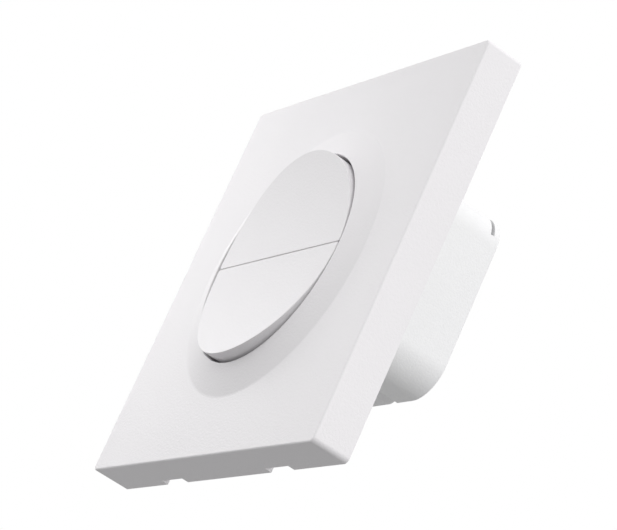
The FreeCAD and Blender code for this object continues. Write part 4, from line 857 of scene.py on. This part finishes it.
for side in (1, -1):
    edges = sorted((slot_inner * side, (housing_half + CUT) * side))
    corner_slot = add_box(
        "corner_slot",
        (edges[0], slot_front, slot_bottom),
        (edges[1], slot_front + slot_width, housing_high.z + CUT),
    )
    combine(sleeve, corner_slot, "DIFFERENCE")
smooth(sleeve)
sleeve.data.materials.append(housing_plastic)
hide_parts("housing")
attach(sleeve, "base")

# Rear cover
# The lid of the housing is a flat moulding of the same plastic that sits in a step of the rim. A
# row of holes takes the mains wires, with a smaller row above it for the terminal screws.

cover_low, cover_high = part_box("rear_cover")
cover_corner = 6.1 * MM
cover_edge = 0.15 * MM
pole_places = [place * MM for place in (-11.25, -3.75, 3.75, 11.25)]
wire_level = -12.5 * MM
wire_radius = 1.7 * MM
screw_level = -8.4 * MM
screw_radius = 1.5 * MM
funnel = 0.3 * MM
cover_rib_half = 12.0 * MM
cover_rib_levels = [(-15.3 * MM, -14.8 * MM), (20.3 * MM, 21.3 * MM)]

lid = add_block(
    "rear_lid",
    (cover_low.x, housing_depth - cover_thickness, cover_low.z),
    (cover_high.x, housing_depth, cover_high.z),
    cover_corner,
    HOUSING_STEPS,
)
round_edges(lid, on_level(1, housing_depth), cover_edge, FINE_STEPS)
for low_level, high_level in cover_rib_levels:
    rib = add_box(
        "rib",
        (-cover_rib_half, cover_low.y, low_level),
        (cover_rib_half, housing_depth - cover_thickness / 2, high_level),
    )
    combine(lid, rib, "UNION")
for place in pole_places:
    for level, radius in ((wire_level, wire_radius), (screw_level, screw_radius)):
        hole = add_rod("hole", place, level, cover_low.y, housing_depth + CUT, radius)
        combine(lid, hole, "DIFFERENCE")
        mouth = add_rod(
            "mouth",
            place,
            level,
            housing_depth - funnel,
            housing_depth + funnel,
            radius + 2 * funnel,
            radius,
        )
        combine(lid, mouth, "DIFFERENCE")
smooth(lid)
lid.data.materials.append(housing_plastic)
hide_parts("rear_cover")
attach(lid, "base")

# Button carrier
# A round moulding of natural grey acetal that is screwed on the mounting frame. Its ears hold the
# hinge pins, its ring stops the buttons' hooks, and its pegs hold the return springs.

SEAM_ANGLE = math.radians(35)
CAD_EDGE = 0.06 * MM
FINE_EDGE = 0.03 * MM
MOULDED_EDGE = 0.15 * MM

carrier_plastic = moulded_plastic("carrier_acetal", "#D3D3D1", "#CFCFCD", 0.30 * MM, 0.42)

soft_seams = bpy.data.node_groups.new("soft_seams", "GeometryNodeTree")
for in_out in ("INPUT", "OUTPUT"):
    soft_seams.interface.new_socket("Geometry", in_out=in_out, socket_type="NodeSocketGeometry")
source = add_node(soft_seams, "NodeGroupInput")
merged = add_node(
    soft_seams, "GeometryNodeMergeByDistance", {"Distance": TOUCH}, {"Geometry": source.outputs[0]}
)
rounded = add_node(
    soft_seams,
    "GeometryNodeSetShadeSmooth",
    {"domain": "FACE", "Shade Smooth": True},
    {"Geometry": merged.outputs["Geometry"]},
)
angle = add_node(soft_seams, "GeometryNodeInputMeshEdgeAngle").outputs["Unsigned Angle"]
sharp = add_node(
    soft_seams, "ShaderNodeMath", {"operation": "GREATER_THAN", 1: SEAM_ANGLE}, {0: angle}
)
creased = add_node(
    soft_seams,
    "GeometryNodeSetShadeSmooth",
    {"domain": "EDGE", "Shade Smooth": False},
    {"Geometry": rounded.outputs[0], "Selection": sharp.outputs[0]},
)
add_node(soft_seams, "NodeGroupOutput", {}, {0: creased.outputs[0]})


def finish_solid(name, material, edge=CAD_EDGE):
    """Gives a solid of the frame its material, seamless round faces and fine broken edges."""
    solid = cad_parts[name]
    solid.data.materials.clear()
    solid.data.materials.append(material)
    solid.modifiers.new("soft_seams", "NODES").node_group = soft_seams
    bevel = solid.modifiers.new("broken_edges", "BEVEL")
    bevel.width = edge
    bevel.segments = FINE_STEPS
    bevel.limit_method = "ANGLE"
    bevel.angle_limit = SEAM_ANGLE
    bevel.harden_normals = True


finish_solid("button_carrier", carrier_plastic)

# Hinge pins and return springs
# Each button turns on a ground steel pin that snaps into the carrier, and is pushed out by a bent
# strip of spring steel. Drawing and rolling leave fine lines along both, and a soft grey shine.

HANDLED_PATCH = 4 * MM
LINE_STRETCH = 12.0
LINE_GLOSS = 0.08
LINE_DEPTH = 0.004 * MM


def metal_piece(name, colour, worn, line, along, roughness):
    """Bare or plated metal. Its working leaves fine lines, stretched along one axis, that break up
    the reflection, and its tone drifts a little between a fresh and a handled colour."""
    material = bpy.data.materials.new(name)
    material.use_nodes = True
    tree = material.node_tree
    shader = tree.nodes["Principled BSDF"]
    shader.inputs["Metallic"].default_value = 1.0
    place = add_node(tree, "ShaderNodeTexCoord").outputs["Object"]
    drift = add_node(tree, "ShaderNodeTexNoise", {"Scale": 1 / HANDLED_PATCH}, {"Vector": place})
    tones = add_node(tree, "ShaderNodeValToRGB", {}, {"Fac": drift.outputs["Fac"]})
    tones.color_ramp.elements[0].color = hex_colour(worn)
    tones.color_ramp.elements[1].color = hex_colour(colour)
    tree.links.new(tones.outputs["Color"], shader.inputs["Base Color"])
    stretch = [1.0 if axis == along else LINE_STRETCH for axis in range(3)]
    drawn = add_node(tree, "ShaderNodeMapping", {"Scale": stretch}, {"Vector": place})
    lines = add_node(
        tree,
        "ShaderNodeTexNoise",
        {"Scale": 1 / (LINE_STRETCH * line), "Detail": 2.0},
        {"Vector": drawn.outputs["Vector"]},
    )
    gloss = add_node(
        tree,
        "ShaderNodeMapRange",
        {"To Min": roughness - LINE_GLOSS, "To Max": roughness + LINE_GLOSS},
        {"Value": lines.outputs["Fac"]},
    )
    tree.links.new(gloss.outputs["Result"], shader.inputs["Roughness"])
    bump = add_node(
        tree,
        "ShaderNodeBump",
        {"Strength": 0.3, "Distance": LINE_DEPTH},
        {"Height": lines.outputs["Fac"]},
    )
    tree.links.new(bump.outputs["Normal"], shader.inputs["Normal"])
    return material


pin_steel = metal_piece("ground_pin_steel", "#C4C4C6", "#B6B6B9", 0.05 * MM, 0, 0.26)
spring_steel = metal_piece("rolled_spring_steel", "#B0B0B4", "#9C9DA2", 0.08 * MM, 2, 0.32)
for which in ("upper", "lower"):
    finish_solid(f"{which}_pivot_pin", pin_steel)
    finish_solid(f"{which}_return_spring", spring_steel, FINE_EDGE)

# Screws
# Small zinc-plated steel screws that cut their own thread in the plastic: pan heads in the carrier
# and on both boards, countersunk heads through the frame. The plating is bright with a blue cast.

screw_edge = 0.08 * MM
screw_steel = metal_piece("zinc_plated_steel", "#CDD1D6", "#BDC1C8", 0.10 * MM, 1, 0.30)
for name in ("carrier_screws", "switch_board_screws", "housing_screws", "power_board_screws"):
    finish_solid(name, screw_steel, screw_edge)

# Circuit boards
# Glass-fibre laminate, 1.6 mm thick, green with solder mask: the copper tracks under the mask show
# as a lighter green, and the mask is smooth and slightly glossy. The receiver's board is blue.

TRACK_PITCH = 2.54 * MM
TRACK_WIDTH = 0.35 * MM
TRACK_RISE = 0.03 * MM
MASK_IOR = 1.52
MASK_ROUGHNESS = 0.28
MASK_COAT = 0.3


def circuit_board(name, mask, over_copper):
    """Solder mask on laminate. The tracks run in a staggered grid at the pitch of the pins, and
    stand a few hundredths of a millimetre proud under the mask."""
    material = bpy.data.materials.new(name)
    material.use_nodes = True
    tree = material.node_tree
    shader = tree.nodes["Principled BSDF"]
    shader.inputs["IOR"].default_value = MASK_IOR
    shader.inputs["Roughness"].default_value = MASK_ROUGHNESS
    shader.inputs["Coat Weight"].default_value = MASK_COAT
    place = add_node(tree, "ShaderNodeTexCoord").outputs["Object"]
    turned = add_node(
        tree, "ShaderNodeMapping", {"Rotation": (math.pi / 2, 0, 0)}, {"Vector": place}
    )
    tracks = add_node(
        tree,
        "ShaderNodeTexBrick",
        {
            "offset": 0.5,
            "Color1": hex_colour(mask),
            "Color2": hex_colour(mask),
            "Mortar": hex_colour(over_copper),
            "Scale": 1.0,
            "Mortar Size": TRACK_WIDTH / 2,
            "Mortar Smooth": 0.1,
            "Brick Width": 3 * TRACK_PITCH,
            "Row Height": TRACK_PITCH,
        },
        {"Vector": turned.outputs["Vector"]},
    )
    tree.links.new(tracks.outputs["Color"], shader.inputs["Base Color"])
    bump = add_node(
        tree,
        "ShaderNodeBump",
        {"Strength": 0.5, "Distance": TRACK_RISE},
        {"Height": tracks.outputs["Fac"]},
    )
    tree.links.new(bump.outputs["Normal"], shader.inputs["Normal"])
    return material


board_laminate = circuit_board("green_board_laminate", "#174F2C", "#2A7243")
radio_laminate = circuit_board("blue_board_laminate", "#12315E", "#23508C")
finish_solid("switch_board", board_laminate, FINE_EDGE)
finish_solid("power_board", board_laminate, FINE_EDGE)
finish_solid("radio_module", radio_laminate, FINE_EDGE)

# Push switches
# A black glass-filled body under a tinned steel cover, with four tinned legs soldered through the
# front board. Each button's post presses the dark red plunger in its middle.

SPECKLE_SHADE = 0.85
SPECKLE_GLOSS = 0.06


def two_materials(name, first, second, axis, low, high):
    """One solid of two materials: the first between two levels along an axis, the second outside
    them. Each part keeps its own colour, metal and gloss."""
    material = bpy.data.materials.new(name)
    material.use_nodes = True
    tree = material.node_tree
    tree.nodes.clear()
    shaders = []
    place = add_node(tree, "ShaderNodeTexCoord").outputs["Object"]
    for code, metallic, roughness, grain in (first, second):
        shader = add_node(tree, "ShaderNodeBsdfPrincipled", {"Metallic": metallic})
        speckle = add_node(
            tree, "ShaderNodeTexNoise", {"Scale": 1 / grain, "Detail": 3.0}, {"Vector": place}
        )
        tones = add_node(tree, "ShaderNodeValToRGB", {}, {"Fac": speckle.outputs["Fac"]})
        colour = hex_colour(code)
        tones.color_ramp.elements[0].color = [SPECKLE_SHADE * part for part in colour[:3]] + [1.0]
        tones.color_ramp.elements[1].color = colour
        tree.links.new(tones.outputs["Color"], shader.inputs["Base Color"])
        gloss = add_node(
            tree,
            "ShaderNodeMapRange",
            {"To Min": roughness - SPECKLE_GLOSS, "To Max": roughness + SPECKLE_GLOSS},
            {"Value": speckle.outputs["Fac"]},
        )
        tree.links.new(gloss.outputs["Result"], shader.inputs["Roughness"])
        shaders.append(shader)
    level = add_node(tree, "ShaderNodeSeparateXYZ", {}, {"Vector": place}).outputs[axis]
    above = add_node(tree, "ShaderNodeMath", {"operation": "GREATER_THAN", 1: low}, {0: level})
    below = add_node(tree, "ShaderNodeMath", {"operation": "LESS_THAN", 1: high}, {0: level})
    inside = add_node(
        tree,
        "ShaderNodeMath",
        {"operation": "MULTIPLY"},
        {0: above.outputs[0], 1: below.outputs[0]},
    )
    mixed = add_node(
        tree,
        "ShaderNodeMixShader",
        {},
        {0: inside.outputs[0], 1: shaders[1].outputs[0], 2: shaders[0].outputs[0]},
    )
    add_node(tree, "ShaderNodeOutputMaterial", {}, {"Surface": mixed.outputs[0]})
    return material


tinned = ("#C9CACB", 1.0, 0.34, 0.8 * MM)
tact_cover = 0.3 * MM
board_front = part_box("switch_board")[0].y
tact_body = ("#1C1C1D", 0.0, 0.45, 0.3 * MM)
tact_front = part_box("upper_tact_switch")[0].y + tact_cover
tact_plastic = two_materials("push_switch_body", tact_body, tinned, 1, tact_front, board_front)
plunger_plastic = moulded_plastic("plunger_nylon", "#8E2426", "#842022", 0.30 * MM, 0.40)
for which in ("upper", "lower"):
    finish_solid(f"{which}_tact_switch", tact_plastic)
    finish_solid(f"{which}_plunger", plunger_plastic, MOULDED_EDGE)

# Radio receiver
# A tinned steel can shields the receiver on its small blue board, and the antenna beside it is one
# bent copper wire with a clear enamel that makes it glossy and a little orange.

can_edge = 0.10 * MM
enamel_coat = 0.8

tin_plate = metal_piece("tinned_steel_can", "#D2D3D4", "#C0C1C3", 0.20 * MM, 0, 0.36)
antenna_wire = metal_piece("enamelled_copper_wire", "#C77A45", "#B4693A", 0.15 * MM, 2, 0.22)
antenna_wire.node_tree.nodes["Principled BSDF"].inputs["Coat Weight"].default_value = enamel_coat
finish_solid("radio_shield", tin_plate, can_edge)
finish_solid("antenna", antenna_wire, FINE_EDGE)

# Pin header
# Six gold-plated square pins in a strip of black moulded nylon join the two boards. The pins are
# pressed into the strip and soldered in both boards, and only the gold shines.

strip_height = 2.5 * MM
header_plastic = two_materials(
    "header_strip",
    ("#161617", 0.0, 0.42, 0.3 * MM),
    ("#D9B25A", 1.0, 0.25, 0.8 * MM),
    1,
    0,
    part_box("board_header")[0].y + strip_height,
)
finish_solid("board_header", header_plastic)

# Relays
# Two sealed relays in blue moulded cases of glass-filled polyester, with sharp corners and a soft
# sheen. Their tinned pins are soldered in the rear board, which the cases just clear.

board_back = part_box("power_board")[1].y
pins_bare = 0.3 * MM
relay_plastic = two_materials(
    "relay_case",
    ("#1F4C8F", 0.0, 0.30, 0.3 * MM),
    tinned,
    1,
    board_back + pins_bare,
    housing_depth,
)
finish_solid("left_relay", relay_plastic, MOULDED_EDGE)
finish_solid("right_relay", relay_plastic, MOULDED_EDGE)

# Supply
# A ferrite transformer wound under yellow tape, a capacitor in a black shrink sleeve with a bare
# aluminium top, a ceramic fuse between plated caps, and a varistor dipped in blue epoxy.

core_low, core_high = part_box("transformer")
core_middle = (core_low.z + core_high.z) / 2
core_half = 2.1 * MM
sleeve_end = 0.25 * MM
fuse_cap = 1.8 * MM
dipped_edge = 0.40 * MM

transformer_core = two_materials(
    "ferrite_and_tape",
    ("#2B2A2C", 0.0, 0.62, 0.2 * MM),
    ("#C99A22", 0.0, 0.35, 1.5 * MM),
    2,
    core_middle - core_half - TOUCH,
    core_middle + core_half + TOUCH,
)
finish_solid("transformer", transformer_core, MOULDED_EDGE)
capacitor_sleeve = two_materials(
    "capacitor_sleeve",
    ("#16181F", 0.0, 0.28, 2.0 * MM),
    ("#D0D1D3", 1.0, 0.30, 0.4 * MM),
    1,
    board_back - MM,
    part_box("filter_capacitor")[1].y - sleeve_end,
)
finish_solid("filter_capacitor", capacitor_sleeve)
fuse_low, fuse_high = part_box("fuse")
fuse_glass = two_materials(
    "ceramic_fuse",
    ("#E4E1D8", 0.0, 0.25, 0.5 * MM),
    ("#C8C5BC", 1.0, 0.27, 0.6 * MM),
    0,
    fuse_low.x + fuse_cap,
    fuse_high.x - fuse_cap,
)
finish_solid("fuse", fuse_glass)
varistor_coating = two_materials(
    "dipped_epoxy",
    ("#274F94", 0.0, 0.24, 1.2 * MM),
    tinned,
    1,
    board_back + pins_bare,
    housing_depth,
)
finish_solid("varistor", varistor_coating, dipped_edge)

# Terminals
# A grey nylon block with a well for each pole. Each well holds a stamped brass cage, whose slotted
# zinc-plated screw clamps the wire that comes through the rear cover.

terminal_plastic = moulded_plastic("terminal_nylon", "#777B80", "#717579", 0.35 * MM, 0.46)
clamp_brass = metal_piece("stamped_brass", "#CDA869", "#B8935A", 0.12 * MM, 1, 0.30)
finish_solid("terminal_block", terminal_plastic)
finish_solid("terminal_clamps", clamp_brass)
finish_solid("terminal_screws", screw_steel)
